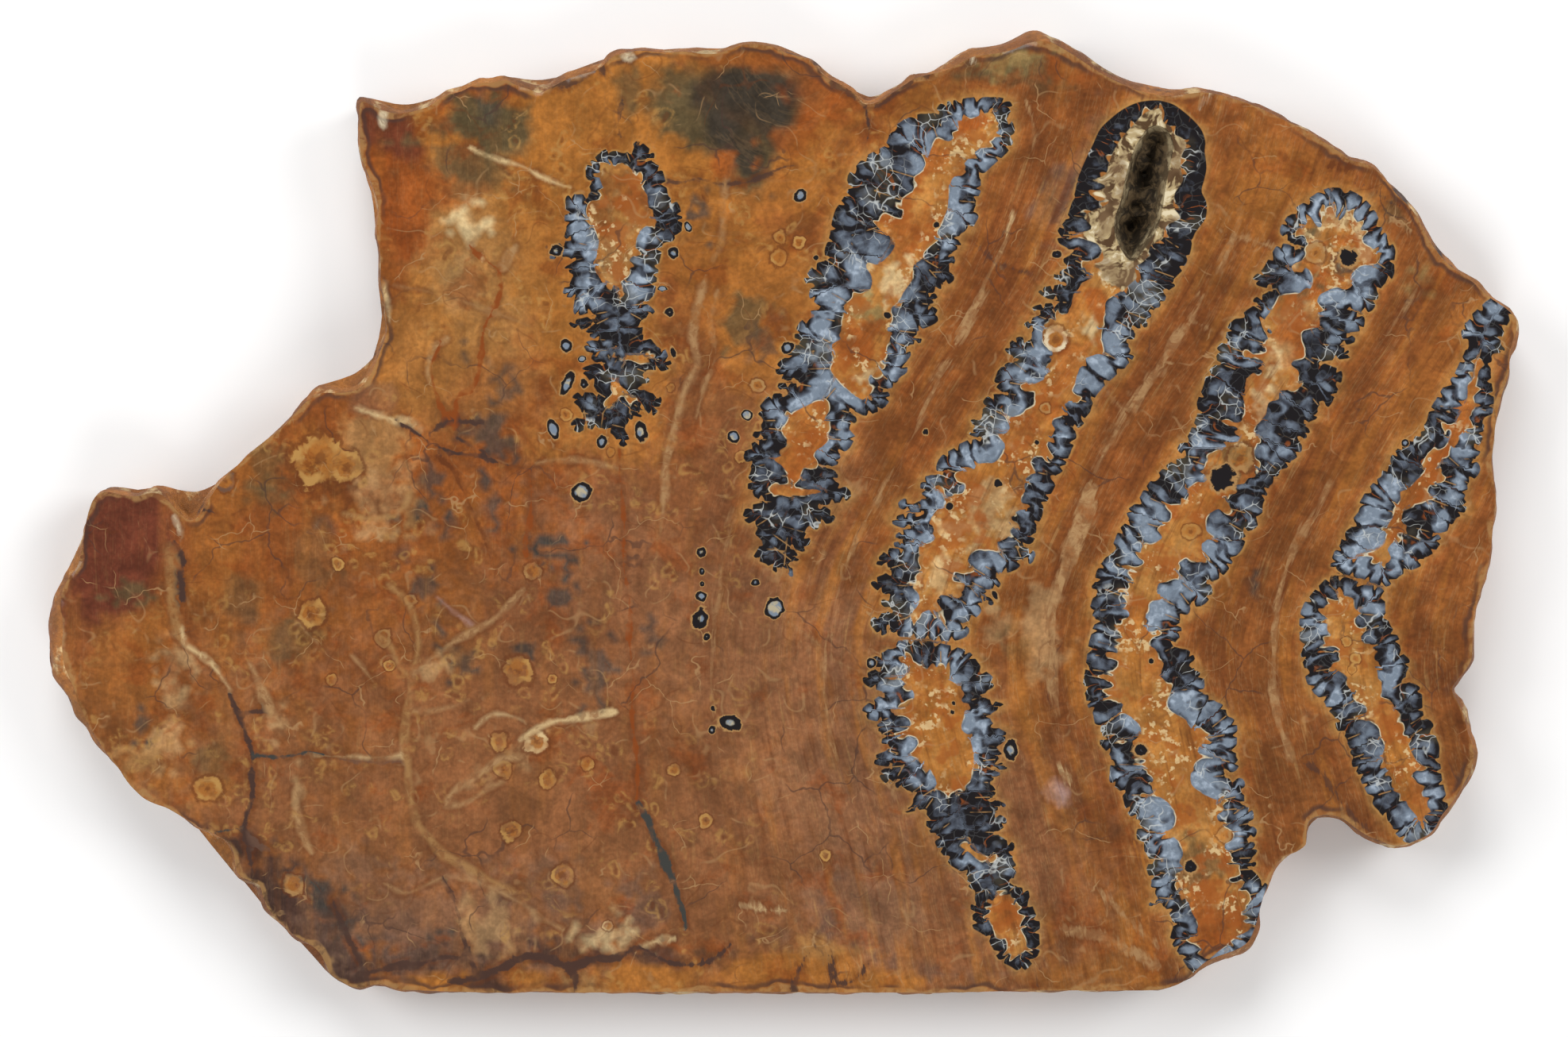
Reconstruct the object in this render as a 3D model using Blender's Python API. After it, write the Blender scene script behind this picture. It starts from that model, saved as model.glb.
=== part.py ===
"""Slice of a fossil mammoth molar: one flat slab of stone, polished above, with its natural rim.

The slab lies flat with its polished face up. Units are metres. The origin is the middle of the
slab's bounding box on the surface that it rests on, +X runs along the slice's length to the end
with the full enamel plates, and +Y runs to the side with the scalloped cement rim.
"""

import bmesh
import bpy
import numpy as np

MM = 0.001

THICKNESS = 7.0 * MM
RIM_STEP = 0.95 * MM  # spacing of the points round the rim
LUMP_DEPTH = 0.30 * MM  # how deep the hollows between the rim's lumps are

# The rim from above, counter-clockwise from the heel's notch, in millimetres: x, y.
# Between these points the rim is a smooth curve.
HEEL_ROOT = [
    (-48.0, -0.3), (-48.8, 0.5), (-49.3, 1.2), (-49.9, 1.8), (-50.9, 2.2), (-51.5, 2.0),
    (-52.3, 1.7), (-53.5, 1.75), (-54.8, 2.0), (-55.6, 1.8), (-56.2, 1.2), (-56.6, 0.3),
    (-56.9, -0.7), (-57.2, -1.9), (-57.6, -2.9), (-58.0, -4.0), (-58.9, -5.1), (-59.3, -6.1),
    (-59.8, -7.5), (-60.0, -9.2), (-60.2, -10.7), (-60.0, -12.5), (-59.6, -13.6), (-58.7, -15.1),
]
HEEL_UNDERSIDE = [
    (-58.2, -16.2), (-57.0, -17.7), (-56.2, -18.7), (-55.0, -20.1), (-54.1, -21.1), (-53.3, -22.3),
    (-52.4, -23.2), (-51.6, -23.8), (-50.2, -24.3), (-49.0, -25.0), (-47.8, -25.8), (-46.7, -26.4),
    (-45.7, -26.9), (-45.1, -27.5), (-44.9, -28.5), (-44.8, -29.5), (-44.3, -30.1), (-43.4, -30.4),
    (-42.75, -30.7), (-42.6, -31.6), (-42.3, -32.5), (-41.7, -33.2), (-41.0, -33.8), (-40.5, -34.3),
    (-39.8, -35.0), (-39.0, -35.2), (-38.1, -35.8), (-37.4, -36.6), (-37.3, -37.3), (-36.8, -38.0),
    (-35.9, -38.5), (-35.2, -38.9), (-34.5, -39.1), (-33.7, -38.95), (-33.0, -38.7), (-32.1, -38.8),
]
SAWN_FOOT = [
    (-31.7, -39.1), (-30.0, -39.2), (-26.0, -39.25), (-22.0, -39.25), (-19.0, -39.1), (-17.0, -39.25),
    (-10.0, -39.25), (0.0, -39.25), (10.0, -39.25), (20.0, -39.2), (28.0, -39.15), (30.2, -39.1),
]
FOOT_CORNER = [
    (31.5, -38.9), (32.7, -38.5), (33.5, -38.0), (34.3, -37.4), (35.2, -37.0), (36.5, -36.6),
    (37.5, -36.2), (38.3, -35.7), (38.8, -34.9), (38.95, -34.0), (39.1, -32.7), (39.3, -31.7),
    (39.6, -30.8), (39.9, -30.2), (40.1, -29.4), (40.6, -28.6), (41.3, -28.1), (42.2, -27.8),
    (42.8, -27.3), (42.9, -26.8), (42.8, -25.9), (43.1, -25.3), (43.8, -25.0), (44.6, -24.95),
]
LAST_PLATE_END = [
    (45.4, -25.2), (46.2, -25.8), (47.1, -26.5), (48.2, -27.1), (49.2, -27.5), (50.0, -27.7),
    (50.9, -27.5), (51.9, -27.1), (52.8, -26.7), (53.4, -26.2), (53.7, -25.5), (54.1, -24.8),
    (54.9, -24.0), (55.6, -22.9), (56.2, -21.9), (56.6, -20.9), (56.8, -19.8), (56.7, -19.0),
    (56.3, -18.0), (56.1, -17.0), (55.8, -16.0), (55.3, -15.1), (54.9, -14.6), (55.3, -14.0),
    (55.9, -13.3), (56.4, -12.5), (56.5, -11.5), (56.5, -10.0), (56.6, -8.5), (57.1, -6.7),
    (57.6, -5.0), (57.9, -3.5), (58.0, -2.0), (58.1, -0.7), (58.3, 0.8), (58.15, 2.2),
    (57.9, 3.8), (58.1, 5.5), (58.3, 7.0), (58.7, 8.7), (59.2, 10.2), (59.6, 11.3),
    (59.55, 12.5), (59.6, 13.3), (60.0, 14.0), (60.2, 15.3), (59.8, 16.2), (59.1, 16.9),
]
RIGHT_SHOULDER = [
    (58.0, 17.6), (57.2, 18.4), (56.6, 19.0), (55.6, 19.7), (54.7, 20.3), (53.8, 21.3),
    (53.0, 22.4), (52.4, 23.6), (51.7, 24.8), (50.9, 25.6), (50.3, 26.0), (49.9, 26.6),
    (49.2, 27.5), (48.4, 28.3), (47.5, 28.75), (46.5, 28.9), (46.0, 29.2), (45.4, 29.8),
    (44.6, 30.2), (43.5, 31.0), (42.4, 31.6), (41.3, 32.1), (40.1, 32.7), (38.8, 33.3),
    (37.5, 33.8), (36.2, 34.2), (34.9, 34.6), (33.8, 34.8), (32.6, 34.7), (31.5, 34.6),
    (30.3, 34.75), (29.5, 34.95), (28.7, 35.2), (27.6, 35.7), (26.3, 36.4), (25.0, 37.3),
]
SECOND_SCALLOP = [
    (24.0, 38.0), (23.0, 38.6), (22.2, 39.1), (21.2, 39.25), (20.2, 39.1), (19.2, 38.8),
    (18.5, 38.4), (17.8, 38.2), (16.6, 38.0), (15.4, 37.85), (14.6, 37.5), (13.7, 36.9),
    (12.7, 36.4), (11.6, 36.0), (10.6, 35.7), (9.6, 35.0), (8.5, 34.3), (7.6, 33.7),
]
FIRST_SCALLOP = [
    (7.0, 33.3), (6.7, 33.6), (6.3, 34.2), (5.7, 34.7), (5.0, 35.1), (4.2, 35.5),
    (3.4, 36.0), (2.9, 36.7), (2.5, 37.1), (1.8, 37.4), (0.8, 37.55), (0.0, 38.0),
    (-0.6, 38.2), (-1.5, 38.4), (-2.5, 38.5), (-3.4, 38.35), (-4.3, 38.1), (-5.0, 37.7),
    (-6.0, 37.65), (-7.2, 37.8), (-8.3, 38.0), (-9.5, 37.8), (-10.8, 38.0), (-12.0, 38.0),
    (-13.2, 37.8), (-14.1, 37.5), (-14.8, 36.9), (-15.1, 36.6), (-16.0, 36.4), (-17.0, 36.1),
    (-18.0, 35.7), (-19.0, 35.1),
]
HORN = [
    (-19.5, 34.6), (-20.0, 34.8), (-20.8, 35.1), (-21.5, 35.3), (-22.0, 35.65), (-22.5, 35.75),
    (-23.2, 35.6), (-24.0, 35.5), (-24.6, 35.6), (-25.2, 35.4), (-25.7, 35.0), (-26.3, 34.7),
    (-27.1, 34.6), (-27.8, 34.3), (-28.4, 33.8), (-29.2, 33.3), (-30.3, 33.0), (-31.2, 32.8),
    (-32.0, 33.0), (-32.6, 33.2), (-33.3, 33.6), (-34.2, 33.9), (-34.8, 33.8), (-35.0, 33.4),
]
NECK = [
    (-34.8, 32.5), (-34.8, 31.5), (-34.6, 30.6), (-34.6, 29.5), (-34.4, 28.5), (-34.0, 27.5),
    (-33.6, 26.5), (-33.3, 25.5), (-33.05, 24.7), (-33.1, 23.9), (-33.3, 22.9), (-33.2, 21.9),
    (-32.95, 20.9), (-32.95, 19.8), (-32.95, 18.8), (-32.9, 18.0), (-32.6, 17.1), (-32.6, 16.1),
    (-32.5, 15.3), (-32.4, 14.5), (-32.7, 13.8), (-33.2, 12.8), (-33.7, 11.7), (-34.3, 10.8),
    (-34.8, 10.35), (-35.5, 10.2), (-36.5, 10.2), (-37.6, 10.2), (-38.3, 10.0), (-39.0, 9.3),
    (-39.9, 8.4), (-40.4, 7.6), (-41.0, 6.9), (-41.8, 6.2), (-42.8, 5.4), (-43.8, 4.5),
    (-44.4, 3.9), (-45.1, 3.3), (-46.0, 2.5), (-46.9, 1.6), (-47.3, 1.0), (-47.7, 0.2),
]
RIM = (
    HEEL_ROOT + HEEL_UNDERSIDE + SAWN_FOOT + FOOT_CORNER + LAST_PLATE_END
    + RIGHT_SHOULDER + SECOND_SCALLOP + FIRST_SCALLOP + HORN + NECK
)

# How far the natural crust shows outside the polished face, in millimetres: x, y, width.
CRUST_WIDTHS = [
    (-60.0, -10.0, 1.7), (-59.0, -6.0, 0.9), (-56.5, 1.0, 0.3), (-53.0, 1.9, 0.5), (-49.0, 1.2, 0.7),
    (-52.0, -23.0, 0.25), (-42.0, -32.5, 0.5), (-36.5, -38.0, 0.3), (-20.0, -39.2, 0.15),
    (10.0, -39.2, 0.15), (30.0, -39.1, 0.2), (37.5, -36.2, 0.8), (39.5, -31.0, 0.3), (46.0, -25.6, 0.3),
    (50.0, -27.7, 0.5), (56.7, -20.0, 0.6), (55.0, -14.6, 0.6), (56.5, -10.0, 0.4), (58.2, 2.0, 0.3),
    (59.8, 15.0, 0.5), (54.0, 21.0, 0.6), (46.5, 29.0, 0.5), (38.0, 33.6, 0.5), (30.5, 34.7, 0.9),
    (21.0, 39.2, 1.0), (16.0, 38.0, 0.9), (9.0, 34.6, 0.5), (4.0, 35.6, 0.5), (-3.0, 38.4, 0.5),
    (-12.0, 38.0, 0.6), (-17.0, 36.0, 0.8), (-19.5, 34.6, 0.7), (-25.0, 35.4, 0.7), (-34.0, 33.8, 0.6),
    (-34.5, 29.0, 0.25), (-33.0, 22.0, 0.3), (-32.6, 16.0, 0.3), (-36.0, 10.2, 0.6), (-44.0, 4.2, 0.2),
]

# The rim's rings from the polished face down: height as a share of the thickness, how much
# of the crust's width the ring stands inside the rim, and how strongly the lumps dent it.
RIM_RINGS = [
    (1.00, 1.00, 0.0), (0.90, 0.30, 0.3), (0.76, 0.00, 0.8), (0.55, 0.00, 1.0),
    (0.34, 0.10, 1.0), (0.14, 0.35, 0.6), (0.00, 0.80, 0.0),
]

# The hollow inside the third plate's tip, open to the polished face, in millimetres.
HOLLOW_CENTRE = (29.4, 26.0)
HOLLOW_HALF_SIZE = (1.9, 5.5)
HOLLOW_DEPTH = 3.2
HOLLOW_LEAN_DEG = -12.0  # its top leans towards +X


def through_points(points, step):
    """Closed smooth curve through the points, read off at an even spacing along its length."""
    p = np.asarray(points, float)
    before, after, after_next = np.roll(p, 1, 0), np.roll(p, -1, 0), np.roll(p, -2, 0)
    t = np.linspace(0.0, 1.0, 12, endpoint=False)[None, :, None]
    a, b, c, d = (q[:, None, :] for q in (before, p, after, after_next))
    curve = 0.5 * (2 * b + (c - a) * t + (2 * a - 5 * b + 4 * c - d) * t**2 + (3 * b - a - 3 * c + d) * t**3)
    curve = curve.reshape(-1, 2)
    closed = np.vstack([curve, curve[:1]])
    along = np.concatenate([[0.0], np.cumsum(np.linalg.norm(np.diff(closed, axis=0), axis=1))])
    stops = np.linspace(0.0, along[-1], int(round(along[-1] / step)), endpoint=False)
    return np.column_stack([np.interp(stops, along, closed[:, k]) for k in (0, 1)])


def outward(loop):
    """Unit vectors that point out of a counter-clockwise loop, smoothed so that rings don't cross."""
    along = np.roll(loop, -2, 0) - np.roll(loop, 2, 0)
    out = np.column_stack([along[:, 1], -along[:, 0]])
    for _ in range(2):
        out = (np.roll(out, 1, 0) + 2 * out + np.roll(out, -1, 0)) / 4
    return out / np.linalg.norm(out, axis=1, keepdims=True)


def crust_width(loop):
    """Crust width at each point of the rim, blended from the nearest stated widths."""
    at = np.asarray(CRUST_WIDTHS, float) * MM
    away = np.linalg.norm(loop[:, None, :] - at[None, :, :2], axis=2)
    weight = 1.0 / (away**3 + (1.5 * MM) ** 3)
    return (weight * at[:, 2]).sum(1) / weight.sum(1)


def lumps(count, level):
    """Dents between the rim's lumps, 0 to 1 round the rim; each level's are shifted a little."""
    turn = np.linspace(0.0, 2 * np.pi, count, endpoint=False)
    waves = np.sin(61 * turn + 0.9 * level) + 0.7 * np.sin(97 * turn + 2.1 + 1.7 * level)
    waves = waves + 0.5 * np.sin(23 * turn + 4.0 - 0.6 * level)
    return (waves - waves.min()) / (waves.max() - waves.min())


def on_sawn_foot(loop):
    """1 along the straight sawn edge, where the rim has no lumps, and 0 elsewhere."""
    low = np.clip((-38.6 * MM - loop[:, 1]) / (0.5 * MM), 0.0, 1.0)
    return low * (loop[:, 0] > -31.0 * MM)


def slab_mesh(rim):
    """The slab: rings of points joined by quads, closed by the two flat faces."""
    out = outward(rim)
    crust = crust_width(rim)[:, None]
    rough = (1.0 - on_sawn_foot(rim))[:, None]
    mesh = bpy.data.meshes.new("tooth_slice")
    bm = bmesh.new()
    rings = []
    for level, (height, inset, dent) in enumerate(RIM_RINGS):
        inward = inset * crust + dent * rough * LUMP_DEPTH * lumps(len(rim), level)[:, None]
        flat = rim - out * inward
        rings.append([bm.verts.new((x, y, height * THICKNESS)) for x, y in flat])
    for upper, lower in zip(rings, rings[1:]):
        bmesh.ops.bridge_loops(bm, edges=ring_edges(bm, upper) + ring_edges(bm, lower))
    for ring in (rings[0], rings[-1]):
        bm.faces.new(ring)
    bmesh.ops.recalc_face_normals(bm, faces=bm.faces)
    bm.to_mesh(mesh)
    bm.free()
    return mesh


def ring_edges(bm, ring):
    """The closed chain of edges through a ring of points, made where it isn't there yet."""
    pairs = zip(ring, ring[1:] + ring[:1])
    return [bm.edges.get(pair) or bm.edges.new(pair) for pair in pairs]


def hollow_cutter():
    """A lumpy egg shape that hangs from the polished face and cuts the hollow."""
    mesh = bpy.data.meshes.new("hollow_cutter")
    bm = bmesh.new()
    bmesh.ops.create_uvsphere(bm, u_segments=28, v_segments=11, radius=1.0)
    for vert in bm.verts:
        turn = np.arctan2(vert.co.y, vert.co.x)
        swell = 1.0 + 0.05 * np.sin(5 * turn + 0.4) + 0.04 * np.sin(8 * turn)
        vert.co.x *= HOLLOW_HALF_SIZE[0] * MM * swell
        vert.co.y *= HOLLOW_HALF_SIZE[1] * MM * swell
        vert.co.z *= HOLLOW_DEPTH * MM
    bm.to_mesh(mesh)
    bm.free()
    cutter = bpy.data.objects.new("hollow_cutter", mesh)
    cutter.location = (HOLLOW_CENTRE[0] * MM, HOLLOW_CENTRE[1] * MM, THICKNESS)
    cutter.rotation_euler.z = np.radians(HOLLOW_LEAN_DEG)
    cutter.hide_render = True
    cutter.display_type = "WIRE"
    bpy.context.collection.objects.link(cutter)
    return cutter


def polished_stone():
    """Orange-brown agate-like stone with a polish."""
    material = bpy.data.materials.new("polished_fossil_stone")
    material.use_nodes = True
    shader = material.node_tree.nodes["Principled BSDF"]
    shader.inputs["Base Color"].default_value = (0.33, 0.13, 0.045, 1.0)
    shader.inputs["Roughness"].default_value = 0.25
    shader.inputs["Metallic"].default_value = 0.0
    return material


def build_slice():
    """The slice, with the hollow cut into its polished face."""
    rim = through_points(np.asarray(RIM, float) * MM, RIM_STEP)
    rim -= (rim.min(0) + rim.max(0)) / 2
    tooth = bpy.data.objects.new("tooth_slice", slab_mesh(rim))
    tooth.data.materials.append(polished_stone())
    bpy.context.collection.objects.link(tooth)
    cut = tooth.modifiers.new("hollow", "BOOLEAN")
    cut.operation = "DIFFERENCE"
    cut.solver = "EXACT"
    cut.object = hollow_cutter()
    return tooth


def main():
    """Clears the scene and builds the slice."""
    for thing in list(bpy.data.objects):
        bpy.data.objects.remove(thing, do_unlink=True)
    build_slice()


main()
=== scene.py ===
"""Looks of a polished slice of a fossil mammoth molar.

The slice lies on a pale floor with its polished face up. Its enamel plates, seams, cracks and
stains are worked out on the face's own points from outlines read off, in millimetres from the
middle of the slice, and drawn by one material. Lengths below are millimetres unless a name ends in _m.
"""

import logging
from dataclasses import dataclass, field
from enum import Enum
from typing import Sequence

import bmesh
import bpy
import numpy as np
from mathutils.geometry import delaunay_2d_cdt
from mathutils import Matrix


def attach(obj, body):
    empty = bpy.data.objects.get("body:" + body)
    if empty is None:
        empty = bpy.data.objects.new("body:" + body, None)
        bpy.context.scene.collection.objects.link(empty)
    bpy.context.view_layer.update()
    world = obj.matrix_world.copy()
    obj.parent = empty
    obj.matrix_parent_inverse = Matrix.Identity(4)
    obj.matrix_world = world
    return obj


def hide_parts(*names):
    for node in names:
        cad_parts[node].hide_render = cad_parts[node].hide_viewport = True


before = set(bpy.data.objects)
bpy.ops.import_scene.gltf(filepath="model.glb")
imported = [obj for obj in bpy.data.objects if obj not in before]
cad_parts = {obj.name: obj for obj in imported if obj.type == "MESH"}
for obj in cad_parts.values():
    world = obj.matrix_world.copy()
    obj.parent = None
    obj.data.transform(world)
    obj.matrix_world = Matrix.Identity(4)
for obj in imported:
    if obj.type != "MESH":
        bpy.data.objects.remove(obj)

LOG = logging.getLogger("tooth_slice")
MM = 0.001
NODE = "tooth_slice"
BODY = "root"
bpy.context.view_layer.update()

Point = tuple[float, float]
Points = list[Point]
Colour = tuple[float, float, float]
Edges = list[tuple[int, int]]
Socket = bpy.types.NodeSocket

# Outlines of the enamel plates, read off the photograph, in millimetres from the middle
# of the slice: x, y. Each runs counter-clockwise through the tips of the enamel's folds.
FIRST_OUTER: Points = [
    (-11.8, 30), (-12.2, 29.4), (-12.8, 29), (-13.6, 29.2), (-14.3, 29.35), (-15.15, 28.7), (-15.8, 28),
    (-15.85, 27), (-15.5, 26.3), (-15.6, 25.7), (-17.35, 25.6), (-17.5, 24.5), (-17.6, 23.6), (-17.4, 22.9),
    (-17.6, 22.3), (-17, 21.9), (-18.1, 21.7), (-18.8, 20.6), (-17.6, 20.8), (-16.9, 20.3), (-17.6, 19.7),
    (-16.8, 19.2), (-17.45, 18.5), (-17.7, 17.6), (-16.8, 17.3), (-16.8, 16.05), (-15.6, 16.2), (-15.1, 15.9),
    (-17.2, 15.35), (-16.4, 14.85), (-15, 15.3), (-15.9, 14.5), (-15, 14), (-16, 13.6), (-15.7, 12.9),
    (-15.3, 12.3), (-14.6, 12.1), (-16.2, 11.55), (-15.8, 11), (-15.2, 10.2), (-15, 9.6), (-16.5, 9.6),
    (-17, 9.1), (-16.4, 8.5), (-16.2, 7.9), (-17.1, 7.1), (-16.5, 6.5), (-15.9, 6.9), (-15.3, 6.7),
    (-14.7, 6.9), (-14, 6.5), (-13.5, 6.1), (-13.2, 5.5), (-12.8, 5.35), (-12.5, 5.9), (-12.9, 6.6),
    (-12.8, 7.1), (-12.2, 7.35), (-12.2, 7.9), (-11.4, 7.75), (-11.8, 8.5), (-11.2, 8.4), (-10.5, 7.85),
    (-10.05, 8.55), (-9.9, 9.3), (-10.7, 9.55), (-11.35, 9.85), (-11.5, 10.4), (-10.8, 10.6), (-11.2, 11.2),
    (-11, 11.6), (-10.1, 11.55), (-9.5, 11.5), (-9.05, 11.9), (-9.35, 12.5), (-9.6, 13.2), (-10.1, 13.2),
    (-10.7, 13.9), (-11.4, 14.3), (-11.4, 14.9), (-11.5, 15.6), (-10.9, 15.9), (-10.4, 16.3), (-11.1, 16.85),
    (-10.6, 17.5), (-10.4, 18), (-10.2, 19.3), (-9.95, 20.8), (-9.7, 21.85), (-8.5, 22.2), (-8.2, 23.45),
    (-8.3, 24.35), (-8.5, 24.95), (-9.25, 25.55), (-9.5, 26.45), (-9.8, 27.7), (-10.3, 28.15), (-10.9, 28.6),
    (-10.4, 28.9), (-11.1, 29.65),
]
FIRST_CORE: Points = [
    (-14.1, 28.3), (-14.9, 27.8), (-15, 27.1), (-14.7, 26.3), (-14.5, 25.5), (-15.6, 25), (-15.8, 24),
    (-15.5, 23.3), (-15.05, 22.4), (-15.05, 21.7), (-15.2, 20.8), (-14.9, 19.75), (-14.4, 18.8),
    (-13.9, 18.3), (-13.4, 18.15), (-13.2, 17.5), (-12.7, 18), (-12.95, 18.6), (-12.4, 19.1), (-12.3, 20.3),
    (-11.8, 20.8), (-11.7, 21.9), (-11.35, 22.75), (-10.5, 23.4), (-10.75, 24.25), (-10.75, 25),
    (-10.8, 25.75), (-11.3, 26.45), (-11.5, 27.1), (-12.15, 27.7), (-12.85, 27.95),
]
FIRST_CREVICE: Points = [  # the orange lines across the first plate's lower half
    (-15.1, 12.9), (-14, 12.7), (-13.6, 13.2), (-13.3, 12.6), (-12.3, 12.6), (-10.6, 12.7),
    (-10.3, 12.45),
    (-11.6, 12.3), (-12.8, 12.35), (-13, 11.9), (-13.4, 12.3), (-14.4, 12.45),
]
FIRST_LOWER_CORE: Points = [
    (-14, 10.6), (-13.8, 9.6), (-14.2, 8.6), (-13.6, 8.9), (-12.9, 9.3), (-12.6, 8.9), (-12.4, 8.2),
    (-12.1, 9), (-12.9, 9.8), (-13.1, 10.5),
]
SECOND_OUTER: Points = [
    (17.4, 33.55), (15.5, 33.55), (14.3, 33.35), (12.95, 33.05), (12.4, 32.3), (11.15, 32.2), (10.3, 31.9),
    (8.95, 31.1), (8.75, 30.4), (8.35, 29.6), (6.85, 28.8), (6.1, 28), (5.4, 27.2), (5.5, 26.2), (4.85, 25.1),
    (4.4, 24.4), (4.1, 23.3), (3.95, 22.3), (3.55, 21.2), (3.6, 20.3), (2.9, 20.1), (1.9, 18.9), (2.4, 18.2),
    (2.3, 17.4), (3, 16.8), (2.35, 16.3), (2.9, 15.8), (1.6, 15.4), (1.1, 14.3), (1.2, 13.7), (-0.1, 13.3),
    (0.6, 12.7), (-0.35, 11.9), (-0.2, 11), (1.3, 10.4), (-0.3, 10.3), (0.2, 9.6), (-1, 9.35), (-1.9, 8.1),
    (-1.4, 7.4), (-2.3, 6.2), (-1.5, 5.9), (-2.55, 5.35), (-3.05, 4.4), (-2.4, 3.6), (-2.65, 2.7),
    (-2.6, 1.6), (-1.4, 0.75), (-2.8, 0.3), (-3, -0.7), (-1.9, -1.2), (-2.1, -1.95), (-1.8, -2.9),
    (-2.2, -3.75), (-1.25, -4.2), (-0.4, -4.9), (0.1, -4.3), (0.8, -5.3), (0.7, -4), (1.35, -3.9),
    (0.8, -2.9), (1.8, -3.2), (2.2, -2.3), (1.7, -1.6), (2.9, -1.35), (2.8, -0.9), (3.9, -0.9), (4.2, -0.25),
    (3, 0.6), (3.8, 0.65), (5.3, 1), (5.45, 1.65), (4.4, 2.3), (4.45, 2.95), (3.8, 3.6), (4.7, 4), (4.6, 4.7),
    (5.35, 5.15), (5.85, 6.05), (5.3, 6.6), (5.75, 7), (6, 7.5), (5.4, 8), (6, 8.2), (6.75, 7.85),
    (7.9, 8.25), (8.5, 8.8), (8.7, 9.4), (8.4, 10), (9.2, 10.2), (9.45, 10.9), (10.1, 11.4), (10, 12.1),
    (10.4, 12.8), (10.1, 13.5), (11.3, 13.85), (10.8, 14.6), (12.1, 15.2), (12.75, 15.7), (12.55, 16.35),
    (11.8, 16.8), (12.5, 17.1), (12.45, 17.6), (11.6, 17.8), (12.85, 18.1), (12.7, 18.7), (13.4, 18.5),
    (13.95, 18.95), (13.6, 19.5), (14, 20.4), (13.7, 21), (14.5, 21.6), (14.2, 22), (14.55, 22.7),
    (15.4, 23.1), (15.9, 24.15), (15.6, 25), (16.05, 26), (16.1, 27.1), (16.75, 27.9), (17.6, 28.65),
    (18.3, 29.3), (18.75, 30.25), (18.75, 31.4), (18.25, 32), (18.65, 32.85), (18.2, 33.4),
]
SECOND_CORE: Points = [
    (16.75, 32.55), (15.9, 32.25), (14.75, 31.9), (14.1, 31.9), (14.2, 31), (13.6, 30.25), (12.55, 30.5),
    (12.1, 29.8), (11.7, 28.85), (11.6, 28), (10.75, 27.2), (10.85, 26.35), (9.6, 25.4), (9.7, 23.9),
    (8.2, 24.35), (7.7, 23.05), (8.75, 22.15), (9, 21.5), (7.8, 20.25), (6.95, 20.4), (6.65, 19.8),
    (7.05, 19.2), (7.15, 18.35), (6.45, 17.7), (5.3, 17.1), (5.2, 15.9), (5.15, 15), (4.8, 14.05),
    (3.9, 13.65), (4.2, 12.65), (3.8, 11.5), (4.7, 10.3), (6, 9.15), (6.75, 8.95), (7.4, 9.8), (7.15, 10.85),
    (7.9, 11.2), (8.05, 12), (8.55, 12.65), (8.45, 13.8), (8.7, 14.7), (9.1, 15.6), (9, 16.4), (9.5, 16.9),
    (10.2, 18), (10.75, 18.85), (10.85, 19.9), (11.6, 20.55), (11.7, 21.5), (12.45, 22.25), (13.15, 23.5),
    (13.6, 24.55), (13.7, 25.7), (13.8, 26.65), (14.65, 27.7), (15.25, 28.55), (16.3, 29.5), (17.3, 30.2),
    (17.6, 30.9), (17.6, 31.7), (17.3, 32.35),
]
SECOND_LOWER_CORE: Points = [
    (3, 9.15), (2.1, 8.8), (0.8, 8.1), (0.2, 7.2), (-0.2, 6.7), (0.2, 5.9), (0.8, 5.4), (0.05, 4.75),
    (-0.85, 4.25), (0.05, 3.4), (0.8, 2.3), (1.5, 2.5), (1.7, 3.1), (2, 3.6), (2.75, 3.85), (2.75, 4.65),
    (3.55, 5.3), (3.9, 5.9), (3.55, 6.85), (3.65, 8), (3.55, 8.9),
]
SECOND_CREVICE: Points = [
    (-0.7, 1.95), (-0.7, 1.35), (0.95, 1.15), (2, 1.15), (3.4, 1.5), (2.9, 1.9), (1.9, 1.95), (0.6, 2.1),
]
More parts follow.
